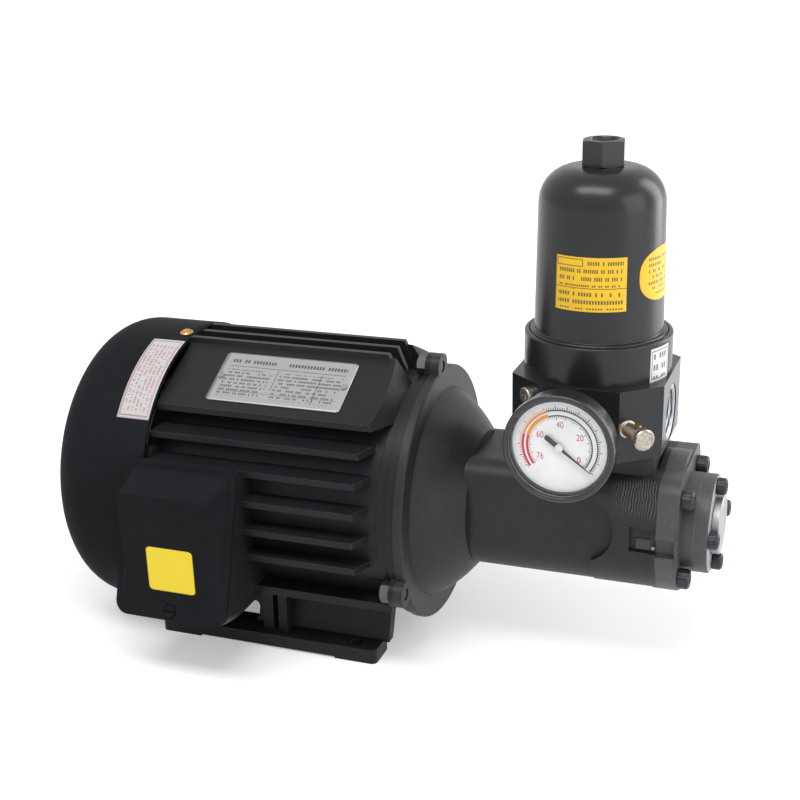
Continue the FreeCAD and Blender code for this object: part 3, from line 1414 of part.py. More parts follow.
def fittings():
    """Vent fitting with its round knob and bleed pin, and the small plug on the other corner."""
    height = d.shaft_height + d.head_seat
    vent_at = (d.filter_middle + d.vent_x, -d.vent_y, height + d.vent_z)
    vent_turn = (Vector(0, 0, 1), -d.vent_turn)
    stem = new_body("vent_body", vent_at, vent_turn)
    end = d.vent_length
    spun(stem, [(-6, 0), (-6, VENT_THREAD), (0, VENT_THREAD), (0, d.vent_stem + 0.9),
                (2, d.vent_stem + 0.9), (2, d.vent_stem), (end, d.vent_stem), (end, 1.2),
                (end + d.knob_length - 1, 1.2), (end + d.knob_length - 1, 0)])
    sketch = sketch_on(stem, "XY_Plane", 1)
    circle(sketch, end - 2.2, 0, VENT_PIN)
    cut(stem, sketch, 6)
    knob = new_body("vent_knob", vent_at, vent_turn)
    start = end + 0.1
    spun(knob, [(start, 1.25), (start, d.knob_radius - 0.8), (start + 1, d.knob_radius),
                (start + d.knob_length - 1, d.knob_radius),
                (start + d.knob_length, d.knob_radius - 1.2), (start + d.knob_length, 0),
                (end + d.knob_length - 0.8, 0), (end + d.knob_length - 0.8, 1.25)])
    pin = new_body("vent_pin", vent_at, vent_turn)
    for rise, length, radius in ((1, d.vent_stem - 0.5, VENT_PIN), (d.vent_stem + 0.5, 1.5, 1.6)):
        sketch = sketch_on(pin, "XY_Plane", rise)
        circle(sketch, end - 2.2, 0, radius)
        pad(pin, sketch, length)
    plug_at = (d.filter_middle - SIDE_PLUG_X, -SIDE_PLUG_Y, height + SIDE_PLUG_Z)
    plug = new_body("side_plug", plug_at, (Vector(0, 0, 1), d.vent_turn - 180))
    spun(plug, [(-7, 0), (-7, SIDE_PLUG_THREAD), (0, SIDE_PLUG_THREAD), (0, 4.2),
                (3, 4.2, 0.6), (3, 0)])
    sketch = sketch_on(plug, "YZ_Plane", 1.4)
    regular(sketch, 0, 0, 3.6)
    cut(plug, sketch, 3)


VENT_PIN = 0.8


# Terminal box: everything on its tilted face shares one frame, with Z out of the joint plane

def box_body(label):
    at = (0, -d.box_y, d.shaft_height - d.box_z)
    return new_body(label, at, (Vector(1, 0, 0), 90 - d.box_tilt))


def plate_outline(sketch, inset=0):
    half = d.box_half_height - inset
    rectangle(sketch, inset - d.box_left, -half, d.box_right - inset, half, d.box_corner - inset)


def rear_depth(up):
    """How far behind the joint plane the frame's flat pad lies, at a place up the plane."""
    return (d.box_rear - d.box_y + up * sin(d.box_tilt)) / cos(d.box_tilt)


def terminal_box():
    body = box_body("terminal_box")
    deep = 40
    sketch = sketch_on(body, "XY_Plane", -deep)
    plate_outline(sketch)
    pad(body, sketch, deep)
    sketch = sketch_on(body, "YZ_Plane")
    outline(sketch, [(70, rear_depth(70)), (70, -70), (-70, -70), (-70, rear_depth(-70))])
    cut(body, sketch, 140, both=True)
    half = d.box_half_height
    sketch = sketch_on(body, "YZ_Plane")
    outline(sketch, [(-half, 0), (60 * sin(d.box_tilt) - half, -60 * cos(d.box_tilt)),
                     (-half - 30, -60), (-half - 30, 0)])
    cut(body, sketch, 140, both=True)
    sketch = sketch_on(body, "XY_Plane", -POCKET_DEPTH)
    rectangle(sketch, 8 - d.box_left, 8 - half, d.box_right - 8, 16, 4)
    cut(body, sketch, POCKET_DEPTH + 1)
    floor = half * cos(d.box_tilt) - d.box_wall - 1
    drop = ENTRY_START * sin(d.box_tilt), ENTRY_START * cos(d.box_tilt)
    sketch = tilted_sketch(body, "XZ_Plane", d.box_tilt, 0, -drop[0], drop[1])
    rectangle(sketch, 6 - d.box_left, -10, d.box_right - 10, 10, 2)
    cut(body, sketch, floor - ENTRY_START)
    sketch = tilted_sketch(body, "XZ_Plane", d.box_tilt, 0, -drop[0], drop[1])
    circle(sketch, ENTRY_X, 0, d.entry_radius)
    cut(body, sketch, floor)
    sketch = sketch_on(body, "XY_Plane", -POCKET_DEPTH - 20)
    circle(sketch, COWL_RIM + 10, 3, 6)
    cut(body, sketch, 21)
    sketch = sketch_on(body, "YZ_Plane", -d.box_left - 1)
    axis_up = d.box_y * sin(d.box_tilt) + d.box_z * cos(d.box_tilt)
    axis_out = d.box_z * sin(d.box_tilt) - d.box_y * cos(d.box_tilt)
    circle(sketch, axis_up, axis_out, d.cowl_radius + 0.3)
    cut(body, sketch, COWL_RIM + d.box_left + 1.6)
    sketch = sketch_on(body, "XY_Plane", -8)
    circle(sketch, COVER_SCREW_X, COVER_SCREW_UP, COVER_SCREW)
    cut(body, sketch, 9)
    gasket = box_body("terminal_gasket")
    sketch = sketch_on(gasket, "XY_Plane")
    plate_outline(sketch, 0.5)
    pad(gasket, sketch, d.gasket_thickness)
    sketch = sketch_on(gasket, "XY_Plane", -1)
    rectangle(sketch, 8 - d.box_left, 8 - half, d.box_right - 8, half - 6, 4)
    cut(gasket, sketch, 4)
    sketch = sketch_on(gasket, "XY_Plane", -1)
    circle(sketch, COVER_SCREW_X, COVER_SCREW_UP, COVER_SCREW + 0.3)
    cut(gasket, sketch, 4)


POCKET_DEPTH = 9
ENTRY_START = 16
ENTRY_X = -43.5
COVER_SCREW = 1.7
COVER_SCREW_X = -29
COVER_SCREW_UP = -35.0


def loft(body, kind, sketches):
    made = body.newObject(kind, "Loft")
    made.Profile = sketches[0]
    made.Sections = sketches[1:]
    made.Ruled = True
    doc.recompute()
    return made


def terminal_cover():
    """Sheet cover: a flat lip, then sides that slope in to an upright face."""
    body = box_body("terminal_cover")
    base = d.gasket_thickness
    lip = base + d.lip_thickness
    half = d.box_half_height
    sketch = sketch_on(body, "XY_Plane", base)
    plate_outline(sketch)
    pad(body, sketch, d.lip_thickness)
    foot = sketch_on(body, "XY_Plane", lip)
    rectangle(foot, 3.5 - d.box_left, 3.5 - half, d.box_right - 3.5, half - 3.5, 5)
    face = cover_face(body, 0)
    rectangle(face, -54, -27, -8, 27, 4)
    loft(body, "PartDesign::AdditiveLoft", [foot, face])
    foot = sketch_on(body, "XY_Plane", base - 0.01)
    rectangle(foot, 7 - d.box_left, 9 - half, d.box_right - 7, half - 6, 4)
    face = cover_face(body, 2.4)
    rectangle(face, -51, -21, -11, 24, 3)
    loft(body, "PartDesign::SubtractiveLoft", [foot, face])
    sketch = sketch_on(body, "XY_Plane", lip - 1)
    circle(sketch, COVER_SCREW_X, COVER_SCREW_UP, 3.6)
    cut(body, sketch, 12)
    sketch = sketch_on(body, "XY_Plane", base - 1)
    circle(sketch, COVER_SCREW_X, COVER_SCREW_UP, COVER_SCREW + 0.3)
    cut(body, sketch, 8)
    screw = box_body("terminal_cover_screw")
    for rise, length, radius in ((-7, lip + 6, COVER_SCREW), (lip - 1, 1.8, 3.2)):
        sketch = sketch_on(screw, "XY_Plane", rise)
        circle(sketch, COVER_SCREW_X, COVER_SCREW_UP, radius)
        pad(screw, sketch, length)
    sketch = sketch_on(screw, "XY_Plane", lip)
    rectangle(sketch, COVER_SCREW_X - 4, COVER_SCREW_UP - 0.4, COVER_SCREW_X + 4,
              COVER_SCREW_UP + 0.4)
    cut(screw, sketch, 2)


def cover_face(body, inset):
    """The sketch plane of the cover's upright face, or of its inside at a wall's depth."""
    out = d.cover_rise - inset
    up = 2.5
    return tilted_sketch(body, "XY_Plane", d.box_tilt, 0,
                         up * cos(d.box_tilt) - out * sin(d.box_tilt),
                         out * cos(d.box_tilt) + up * sin(d.box_tilt))


def terminal_block():
    body = box_body("terminal_block")
    sketch = sketch_on(body, "XY_Plane", -POCKET_DEPTH)
    rectangle(sketch, -46, -4, -12, 14, 1)
    pad(body, sketch, 6)
    studs = box_body("terminal_studs")
    for rise, length, radius in ((-POCKET_DEPTH + 6, 6, 1.6), (-POCKET_DEPTH + 6, 2.2, 3.2)):
        sketch = sketch_on(studs, "XY_Plane", rise)
        for x in (-41, -29, -17):
            for up in (0.5, 9.5):
                circle(sketch, x, up, radius)
        pad(studs, sketch, length)


def nameplate():
    turn = (Vector(1, 0, 0), 90 - d.plate_angle)
    plate = new_body("nameplate", (0, 0, d.shaft_height), turn)
    sketch = sketch_on(plate, "XY_Plane", d.plate_distance)
    left = d.plate_middle - d.plate_length / 2
    half = d.plate_width / 2
    rectangle(sketch, left, -half, left + d.plate_length, half, 1.5)
    pad(plate, sketch, d.plate_thickness)
    sketch = sketch_on(plate, "XY_Plane", d.plate_distance - 1)
    rivet_circles(sketch, left, 1.0)
    cut(plate, sketch, 3)
    rivets = new_body("nameplate_rivets", (0, 0, d.shaft_height), turn)
    face = d.plate_distance + d.plate_thickness
    for rise, length, radius in ((d.plate_distance, 0.7, 1.0), (face, 0.8, 1.8)):
        sketch = sketch_on(rivets, "XY_Plane", rise)
        rivet_circles(sketch, left, radius)
        pad(rivets, sketch, length)


def rivet_circles(sketch, left, radius):
    for x in (left + 2.6, left + d.plate_length - 2.6):
        circle(sketch, x, 0, radius)


def check_document():
    """Stops if any object failed or a sub-part's solid is missing or broken."""
    for thing in doc.Objects:
        if "Invalid" in thing.State or "Error" in thing.State:
            raise RuntimeError(f"{thing.Name} ({thing.Label}) failed: {thing.State}")
    for part in parts:
        shape = part.Shape
        if shape.isNull() or not shape.isValid() or not shape.Solids:
            raise RuntimeError(f"{part.Label} has no valid solid")


def main():
    motor_frame()
    rear_shield()
    fan_cowl()
    cowl_screws()
    stator()
    rotor_core()
    motor_shaft(cooling_fan())
    bearings()
    shaft_keys()
    terminal_box()
    terminal_cover()
    terminal_block()
    nameplate()
    adapter_housing()
    joint_bolts()
    coupling()
    pump_shaft()
    seals_and_bushes()
    pump_body()
    outer_rotor()
    inner_rotor()
    pump_cover()
    filter_head()
    bowl()
    element()
    gauge()
    fittings()
    doc.recompute()
    check_document()
    os.makedirs("parts", exist_ok=True)
    for part in parts:
        part.Shape.exportStep(f"parts/{part.Label}.step")
        box = part.Shape.BoundBox
        print(f"{part.Label:22s} {len(part.Shape.Solids):3d} solids {part.Shape.Volume:12.1f}"
              f"  x {box.XMin:7.1f} {box.XMax:7.1f}  y {box.YMin:7.1f} {box.YMax:7.1f}"
              f"  z {box.ZMin:7.1f} {box.ZMax:7.1f}")


main()
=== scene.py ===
"""Dresses a motor-driven trochoid pump with its suction filter and vacuum gauge."""
import json
import math

import bmesh
import bpy
import numpy as np
from mathutils import Matrix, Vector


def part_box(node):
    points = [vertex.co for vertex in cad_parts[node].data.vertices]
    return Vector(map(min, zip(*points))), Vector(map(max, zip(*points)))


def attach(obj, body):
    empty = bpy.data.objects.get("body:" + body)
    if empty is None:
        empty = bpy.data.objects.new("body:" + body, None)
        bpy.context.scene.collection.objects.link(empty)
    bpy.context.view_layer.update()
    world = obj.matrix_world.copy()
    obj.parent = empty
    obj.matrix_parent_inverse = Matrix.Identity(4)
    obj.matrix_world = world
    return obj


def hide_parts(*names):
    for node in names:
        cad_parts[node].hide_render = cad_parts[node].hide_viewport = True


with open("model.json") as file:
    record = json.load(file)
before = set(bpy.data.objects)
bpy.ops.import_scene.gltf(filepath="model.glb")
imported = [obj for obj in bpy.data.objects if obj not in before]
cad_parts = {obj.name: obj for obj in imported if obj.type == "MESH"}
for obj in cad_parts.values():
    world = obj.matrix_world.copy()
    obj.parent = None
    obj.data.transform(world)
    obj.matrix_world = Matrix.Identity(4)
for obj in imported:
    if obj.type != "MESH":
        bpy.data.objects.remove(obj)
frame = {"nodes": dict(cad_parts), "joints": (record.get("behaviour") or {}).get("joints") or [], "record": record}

bl_info = {
    "name": "Trochoid Pump",
    "version": (1, 0, 0),
    "blender": (4, 5, 0),
    "location": "3D Viewport > Sidebar > Pump",
    "description": "Surfaces and finishes for a foot-mounted motor, pump, filter and gauge",
    "category": "Object",
}

MM = 0.001
TURN = 2 * math.pi
ALONG, UP = (1, 0, 0), (0, 0, 1)
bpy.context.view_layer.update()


def corners(node):
    """A node's lowest and highest corners, in millimetres."""
    return [np.array(corner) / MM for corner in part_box(node)]


def middle(node):
    """The middle of a node's box, in millimetres."""
    low, high = corners(node)
    return (low + high) / 2


BODY_OF = {node: body for body, nodes in frame["record"]["behaviour"]["bodies"].items()
           for node in nodes}
SLOT_OF = {part["node"]: part["material_slot"] for part in frame["record"]["subparts"]}
OWN_FINISH = {"pump_body": "pump_end", "pump_cover": "pump_cover",
              "terminal_cover_screw": "sheet_black"}

COWL_LOW, COWL_HIGH = corners("fan_cowl")
BOWL_LOW, BOWL_HIGH = corners("filter_bowl")
GAUGE_LOW, GAUGE_HIGH = corners("gauge_case")
SHAFT_HEIGHT = middle("motor_shaft")[2]
COWL_REAR, COWL_RIM = COWL_LOW[0], COWL_HIGH[0]
COWL_RADIUS = (COWL_HIGH - COWL_LOW)[1] / 2
HEAD_SEAT = corners("filter_head")[0][2]
FILTER_X = middle("filter_bowl")[0]
BOWL_BOTTOM, BOWL_TOP = BOWL_LOW[2], BOWL_HIGH[2]
GAUGE_X, GAUGE_Z = middle("gauge_case")[[0, 2]]
GAUGE_FRONT, GAUGE_REAR = GAUGE_LOW[1], GAUGE_HIGH[1]
GAUGE_RADIUS = (GAUGE_HIGH - GAUGE_LOW)[0] / 2


class PumpSizes(bpy.types.PropertyGroup):
    """Sizes of the details that the surfaces add, in metres."""

    edge: bpy.props.FloatProperty(
        name="Casting edge", description="Rounding of the castings' edges",
        default=0.0006, min=0.0001, max=0.002, unit="LENGTH", precision=4)
    sheet_edge: bpy.props.FloatProperty(
        name="Machined edge", description="Rounding of machined and pressed edges",
        default=0.0003, min=0.00005, max=0.001, unit="LENGTH", precision=4)
    # How strongly the outer edges turn grey: rubbed paint and a painted highlight along them.
    rub_and_highlight: bpy.props.FloatProperty(
        name="Rubbed edges", description="How far the paint is rubbed off the outer edges",
        default=0.75, min=0, max=1, subtype="FACTOR")
    label: bpy.props.FloatProperty(
        name="Label thickness", description="Thickness of the stuck-on labels",
        default=0.00012, min=0.00005, max=0.0005, unit="LENGTH", precision=5)


class PumpColours(bpy.types.PropertyGroup):
    """Colours of the main finishes."""

    paint: bpy.props.FloatVectorProperty(
        name="Paint", description="Satin black paint on the castings and the cowl",
        subtype="COLOR", size=3, default=(0.0115, 0.0125, 0.0142), min=0, max=1)
    sticker: bpy.props.FloatVectorProperty(
        name="Yellow label", description="Ground colour of the yellow labels",
        subtype="COLOR", size=3, default=(0.86, 0.52, 0.012), min=0, max=1)
    plate: bpy.props.FloatVectorProperty(
        name="Nameplate", description="Bare metal of the nameplate",
        subtype="COLOR", size=3, default=(0.4, 0.405, 0.41), min=0, max=1)
    brass: bpy.props.FloatVectorProperty(
        name="Brass", description="Bare brass screws and fittings",
        subtype="COLOR", size=3, default=(0.52, 0.3, 0.1), min=0, max=1)


def sizes():
    """The sizes that the panel shows."""
    return bpy.context.scene.pump_sizes


def colours():
    """The colours that the panel shows."""
    return bpy.context.scene.pump_colours


# Surfaces: points worked out as whole arrays, in millimetres

def profile(*points, steps=6):
    """A line through corners (radius, height, rounding). A rounding is an arc that touches both
    of the corner's runs: its ends are turned into each other in equal angles."""
    path = []
    for k, corner in enumerate(points):
        here = np.array(corner[:2], float)
        rounding = corner[2] if len(corner) > 2 else 0
        if not rounding:
            path.append(here[None])
            continue
        before = np.array(points[k - 1][:2], float) - here
        after = np.array(points[(k + 1) % len(points)][:2], float) - here
        before /= np.linalg.norm(before)
        after /= np.linalg.norm(after)
        inside = math.acos(np.clip(before @ after, -1, 1))
        reach = rounding / math.tan(inside / 2)
        inwards = (before + after) / np.linalg.norm(before + after)
        centre = here + inwards * rounding / math.sin(inside / 2)
        start = here + before * reach - centre
        end = here + after * reach - centre
        swing = math.pi - inside
        share = np.linspace(0, 1, steps + 1)[:, None]
        arc = (np.sin((1 - share) * swing) * start + np.sin(share * swing) * end) / math.sin(swing)
        path.append(centre + arc)
    return np.concatenate(path)


def angles(sides):
    """Equal angles once round."""
    return np.arange(sides) * TURN / sides


def turned(rows, sides=96):
    """Point (r cos t, r sin t, h) for each row (r, h) and angle t. Radius and height are numbers
    or arrays over the angles, so a row can be a circle, a hexagon or a wavy ring."""
    turn = angles(sides)
    radius = np.array([np.broadcast_to(row[0], sides) for row in rows])
    height = np.array([np.broadcast_to(row[1], sides) for row in rows])
    return np.stack([radius * np.cos(turn), radius * np.sin(turn), height], -1)


def hexagon(flats, sides=96):
    """Radius of a hexagon at each angle: half its width across flats over the cosine of the
    angle from the nearest flat's middle."""
    off = (angles(sides) + TURN / 12) % (TURN / 6) - TURN / 12
    return flats / 2 / np.cos(off)


def placed(points, origin, axis=(0, 0, 1), side=(1, 0, 0)):
    """Points with their own Z laid along axis and their own X near side, then moved to origin."""
    up = np.array(axis, float)
    up /= np.linalg.norm(up)
    across = np.array(side, float) - np.dot(side, up) * up
    across /= np.linalg.norm(across)
    return points @ np.array([across, np.cross(up, across), up]) + np.array(origin, float)


def along_shaft(points, origin):
    """Points with their own Z laid along the shaft's line and their own X upwards."""
    return placed(points, origin, ALONG, UP)


def around(radius, degrees):
    """(y, z) at a distance from the shaft's line, at an angle from the terminal box's side."""
    turn = math.radians(degrees)
    return -radius * math.cos(turn), SHAFT_HEIGHT + radius * math.sin(turn)


GRID_DOUBLED = 0.002 * MM


class Surface:
    """Grids of points gathered into one mesh, with a flat map of each for printed patterns."""

    def __init__(self):
        self.points, self.faces, self.maps, self.count = [], [], [], 0

    def add(self, grid, round_rows=False, round_columns=True, layout=None, skip=None):
        """Joins the neighbours of a (rows, columns, 3) grid with four-sided faces. layout is the
        grid's flat map, and skip marks faces that are left open."""
        rows, columns = grid.shape[:2]
        row = np.arange(rows if round_rows else rows - 1)[:, None]
        column = np.arange(columns if round_columns else columns - 1)[None]
        row_on, column_on = (row + 1) % rows, (column + 1) % columns
        quads = np.stack([row * columns + column, row * columns + column_on,
                          row_on * columns + column_on, row_on * columns + column], -1)
        quads = quads.reshape(-1, 4)
        if skip is not None:
            quads = quads[~skip.ravel()]
        self.points.append(grid.reshape(-1, 3))
        self.faces.append(quads + self.count)
        if layout is None:
            layout = np.zeros((rows, columns, 2))
        self.maps.append(layout.reshape(-1, 2))
        self.count += rows * columns
        return self

    def mesh(self, name):
        """The gathered grids as one mesh, with doubled points joined, so seams and poles close."""
        made = bpy.data.meshes.new(name)
        made.from_pydata(np.concatenate(self.points) * MM, [], np.concatenate(self.faces))
        corner = np.empty(len(made.loops), int)
        made.loops.foreach_get("vertex_index", corner)
        layer = made.uv_layers.new(name="Layout")
        layer.data.foreach_set("uv", np.concatenate(self.maps)[corner].ravel())
        merge(made, GRID_DOUBLED)
        return made


def merge(mesh, distance, flat=0):
    """Joins doubled points, and on request gathers triangles in one plane into one face."""
    work = bmesh.new()
    work.from_mesh(mesh)
    bmesh.ops.remove_doubles(work, verts=work.verts, dist=distance)
    bmesh.ops.dissolve_degenerate(work, edges=work.edges, dist=distance / 2)
    if flat:
        bmesh.ops.dissolve_limit(work, angle_limit=flat, verts=work.verts, edges=work.edges,
                                 delimit=set())
    work.to_mesh(mesh)
    work.free()
    mesh.update()


# Filled by the first operator: a finish for each material slot and for some pieces by name
FINISHES = {}
SHARP = math.radians(34)


def piece(mesh, finish, node, stands_for=(), edge=0, wall=0, rim=None, slot=None):
    """An object for a mesh, riding on its node's body, with a wall or rounded edges on request.
    The rounded edges take the rim's finish."""
    made = bpy.data.objects.new(mesh.name, mesh)
    bpy.context.scene.collection.objects.link(made)
    mesh.materials.clear()
    mesh.materials.append(finish)
    mesh.shade_smooth()
    mesh.set_sharp_from_angle(angle=SHARP)
    if wall:
        shell = made.modifiers.new("Wall", "SOLIDIFY")
        shell.thickness = wall
        shell.offset = -1
        shell.use_even_offset = True
    if edge:
        soft = made.modifiers.new("Edge", "BEVEL")
        soft.width = edge
        soft.segments = 2
        soft.limit_method = "ANGLE"
        soft.angle_limit = SHARP
        soft.use_clamp_overlap = True
        if rim:
            mesh.materials.append(rim)
            soft.material = 1
        level = made.modifiers.new("Level", "WEIGHTED_NORMAL")
        level.keep_sharp = True
        level.weight = 100
    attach(made, BODY_OF[node])
    if stands_for:
        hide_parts(*stands_for)


TOP_FIN_END = 60.0
FLAKE_FROM = 60.5
FLAKE_DEPTH = 0.3


def draw_back(mesh):
    """Draws the thin flakes at the top corners of the outer top fins back to the fins' ends."""
    points = np.empty(len(mesh.vertices) * 3)
    mesh.vertices.foreach_get("co", points)
    points = points.reshape(-1, 3)
    flake_floor = corners("motor_frame")[1][2] - FLAKE_DEPTH
    flake = (points[:, 2] > flake_floor * MM) & (points[:, 0] > FLAKE_FROM * MM)
    points[flake, 0] = TOP_FIN_END * MM
    mesh.vertices.foreach_set("co", points.ravel())


DOUBLED = 0.004 * MM
ONE_PLANE = math.radians(0.6)


def softened(node, name, finish, edge):
    """The node's own shape with its doubled points joined and its edges rounded, rubbed and lightened by a painted
    highlight.
    """
    mesh = frame["nodes"][node].data.copy()
    mesh.name = name
    if node == "motor_frame":
        draw_back(mesh)
    merge(mesh, DOUBLED, flat=ONE_PLANE)
    piece(mesh, finish, node, [node], edge, rim=FINISHES["rubbed_and_highlight_edge"])


# Finishes

class Wire:
    """One output of a node. Arithmetic on wires adds Math nodes."""

    def __init__(self, nodes, socket):
        self.nodes, self.socket = nodes, socket

    def math(self, operation, *values):
        return self.nodes.node("ShaderNodeMath", {"operation": operation},
                               dict(enumerate((self, *values))))

    def __add__(self, other):
        return self.math("ADD", other)

    def __mul__(self, other):
        return self.math("MULTIPLY", other)

    def __sub__(self, other):
        return self.math("SUBTRACT", other)

    def __rsub__(self, other):
        return self.nodes.node("ShaderNodeMath", {"operation": "SUBTRACT"}, {0: other, 1: self})

    def __truediv__(self, other):
        return self.math("DIVIDE", other)

    def __gt__(self, other):
        return self.math("GREATER_THAN", other)

    def __lt__(self, other):
        return self.math("LESS_THAN", other)

    __radd__ = __add__
    __rmul__ = __mul__


class Nodes:
    """A node tree being built: every node comes from the node method."""

    def __init__(self, tree):
        self.tree = tree

    def node(self, kind, settings, inputs, output=0):
        """Any node: its settings first, then the values or wires of its sockets."""
        made = self.tree.nodes.new(kind)
        for word, value in settings.items():
            setattr(made, word, value)
        for key, value in inputs.items():
            self.feed(made.inputs[key], value)
        return Wire(self, made.outputs[output])

    def feed(self, socket, value):
        """Links a wire to a socket, or writes a number or a colour into it."""
        if isinstance(value, Wire):
            self.tree.links.new(value.socket, socket)
        elif hasattr(value, "__len__") and socket.type == "RGBA" and len(value) == 3:
            socket.default_value = (*value, 1)
        else:
            socket.default_value = value


class Finish(Nodes):
    """A material being built around one Principled shader."""

    def __init__(self, name, **constants):
        self.material = bpy.data.materials.new(name)
        self.material.use_nodes = True
        super().__init__(self.material.node_tree)
        self.shader = self.tree.nodes["Principled BSDF"]
        for word, value in constants.items():
            word = word.replace("_", " ").title().replace("Ior", "IOR")
            self.shader.inputs[word].default_value = value

    def split(self, vector):
        """The three parts of a vector."""
        first = self.node("ShaderNodeSeparateXYZ", {}, {0: vector})
        return [Wire(self, socket) for socket in first.socket.node.outputs]

    def place(self, scale=(1, 1, 1), turn=(0, 0, 0)):
        """The point on the object, in metres in the row frame, stretched or turned on request."""
        where = self.node("ShaderNodeTexCoord", {}, {}, "Object")
        return self.node("ShaderNodeMapping", {}, {"Vector": where, "Scale": scale,
                                                   "Rotation": turn})

    def layout(self):
        """The two coordinates of the piece's own flat map."""
        return self.split(self.node("ShaderNodeUVMap", {"uv_map": "Layout"}, {}))[:2]

    def noise(self, size_mm, detail=3, roughness=0.55, where=None):
        """Soft noise whose lumps are about size_mm across."""
        return self.node("ShaderNodeTexNoise", {}, {
            "Vector": where or self.place(), "Scale": 1 / (size_mm * MM), "Detail": detail,
            "Roughness": roughness})

    def blend(self, share, first, second):
        """A colour between two colours."""
        return self.node("ShaderNodeMix", {"data_type": "RGBA"},
                         {0: share, 6: first, 7: second}, 2)

    def spread(self, value, low, high):
        """Stretches what lies between low and high to 0..1."""
        return self.node("ShaderNodeMapRange", {}, {"Value": value, "From Min": low,
                                                    "From Max": high})

    def bump(self, height, strength, depth_mm, under=None):
        """A height turned into slopes, on top of another bump on request."""
        inputs = {"Height": height, "Strength": strength, "Distance": depth_mm * MM}
        if under:
            inputs["Normal"] = under
        return self.node("ShaderNodeBump", {}, inputs)

    def shade(self, colour=None, rough=None, normal=None, metal=None, alpha=None):
        """Feeds the shader with what changes over the surface, and gives the material."""
        for word, value in (("Base Color", colour), ("Roughness", rough), ("Normal", normal),
                            ("Metallic", metal), ("Alpha", alpha)):
            if value is not None:
                self.feed(self.shader.inputs[word], value)
        return self.material


# Grey of the lightened outer edges: rubbed paint and a painted highlight in one colour.
RUBBED_AND_HIGHLIGHT_COLOUR = (0.34, 0.35, 0.365)


def toned(colour, factor):
    """A colour made darker or lighter by a factor."""
    return tuple(np.array(colour) * factor)


def paint(name, rough, grain, lumps, dust=0.3, gloss_level=0.24, rubbed=0.0):
    """Satin black paint: grain of the casting below, fine orange peel and faint dust. Where it is rubbed, outer
    edges go through to a lighter grey and inner corners keep the paint; that grey is rubbed paint and a painted
    highlight along the edges in one."""
    finish = Finish(name, specular_ior_level=gloss_level)
    black = np.array(colours().paint)
    cloud = finish.noise(34, 4)
    dusty = finish.spread(finish.noise(6, 6, 0.7), 0.52, 0.78) * dust
    worn = finish.blend(cloud, toned(black, 0.82), toned(black, 1.35))
    colour = finish.blend(dusty, worn, tuple(black * 1.6 + 0.008))
    # Convex edges, picked by pointiness, turn grey: rubbed paint and a painted highlight.
    if rubbed:
        point = finish.node("ShaderNodeNewGeometry", {}, {}, "Pointiness")
        through = finish.spread(point, 0.495, 0.52) * rubbed
        colour = finish.blend(through, colour, RUBBED_AND_HIGHLIGHT_COLOUR)
    streak = finish.noise(3.5, 5, 0.65)
    gloss = rough - 0.06 + 0.07 * cloud + 0.09 * streak
    peel = finish.bump(finish.noise(0.9, 2), grain, 0.05)
    cast = finish.bump(finish.noise(4.5, 4, 0.6), lumps, 0.25, peel)
    return finish.shade(colour, gloss, cast)


def bare_metal(name, colour, rough, stretch=(1, 1, 1), scratch=0.2):
    """Bare metal: brushed or turned lines along the short side of stretch, with dull patches."""
    finish = Finish(name, metallic=1.0)
    line = finish.noise(0.35, 3, 0.6, finish.place(stretch))
    patch = finish.noise(7, 4, 0.6)
    tone = finish.blend(patch, toned(colour, 0.78), toned(colour, 1.1))
    return finish.shade(tone, rough - 0.06 + 0.12 * patch + 0.08 * line,
                        finish.bump(line, scratch, 0.02))


def dark_steel(name):
    """Black oxide on steel: bluish black, slightly patchy, half metallic."""
    finish = Finish(name, metallic=0.55)
    patch = finish.noise(2.2, 5, 0.65)
    colour = finish.blend(finish.spread(patch, 0.35, 0.7), (0.02, 0.022, 0.027),
                          (0.042, 0.046, 0.054))
    return finish.shade(colour, 0.3 + 0.16 * patch, finish.bump(finish.noise(0.5, 3), 0.25, 0.02))


def moulded(name, colour, rough=0.5, speck=0.15):
    """Moulded plastic or rubber with a fine grain."""
    finish = Finish(name)
    grain = finish.noise(0.6, 3)
    patch = finish.noise(12, 3)
    tone = finish.blend(patch, toned(colour, 0.85), toned(colour, 1.15))
    return finish.shade(tone, rough - 0.05 + 0.1 * patch, finish.bump(grain, speck, 0.03))


def stripes(along, count, share):
    """1 on stripes that fill a share of each of count equal steps."""
    return (along * count).math("FRACT") < share


def printed_rows(finish, u, v, rows, letters, seed, fill=0.62):
    """Rows of small broken bars, as ruled entries are seen from a distance: none is a letter.
    A bar shows where noise that is constant along each little cell passes a limit."""
    cell = finish.node("ShaderNodeCombineXYZ", {}, {
        0: (u * letters).math("FLOOR"), 1: (v * rows).math("FLOOR") + seed, 2: seed})
    pick = finish.node("ShaderNodeTexWhiteNoise", {"noise_dimensions": "3D"}, {"Vector": cell})
    inked = pick < fill
    return inked * stripes(u, letters, 0.66) * stripes(v, rows, 0.5)


def between(value, low, high):
    """1 where the value lies between low and high."""
    return (value > low) * (value < high)


def frame_line(u, v, inset_u, inset_v, width_u, width_v):
    """1 on a thin rectangle drawn inside the label's edge."""
    outside = between(u, inset_u, 1 - inset_u) * between(v, inset_v, 1 - inset_v)
    inside = (between(u, inset_u + width_u, 1 - inset_u - width_u)
              * between(v, inset_v + width_v, 1 - inset_v - width_v))
    return outside - inside


def label_paper(name, ground, ink, draw, rough=0.38, metal=0.0):
    """A label: its ground colour under a printed pattern that draw(finish, u, v) returns."""
    finish = Finish(name, metallic=metal)
    mark = draw(finish, *finish.layout())
    aged = finish.blend(finish.noise(9, 5, 0.65), toned(ground, 0.9), ground)
    return finish.shade(finish.blend(mark * 0.86, aged, ink), rough + 0.1 * finish.noise(2.5, 4),
                        finish.bump(finish.noise(3, 3), 0.12, 0.03))


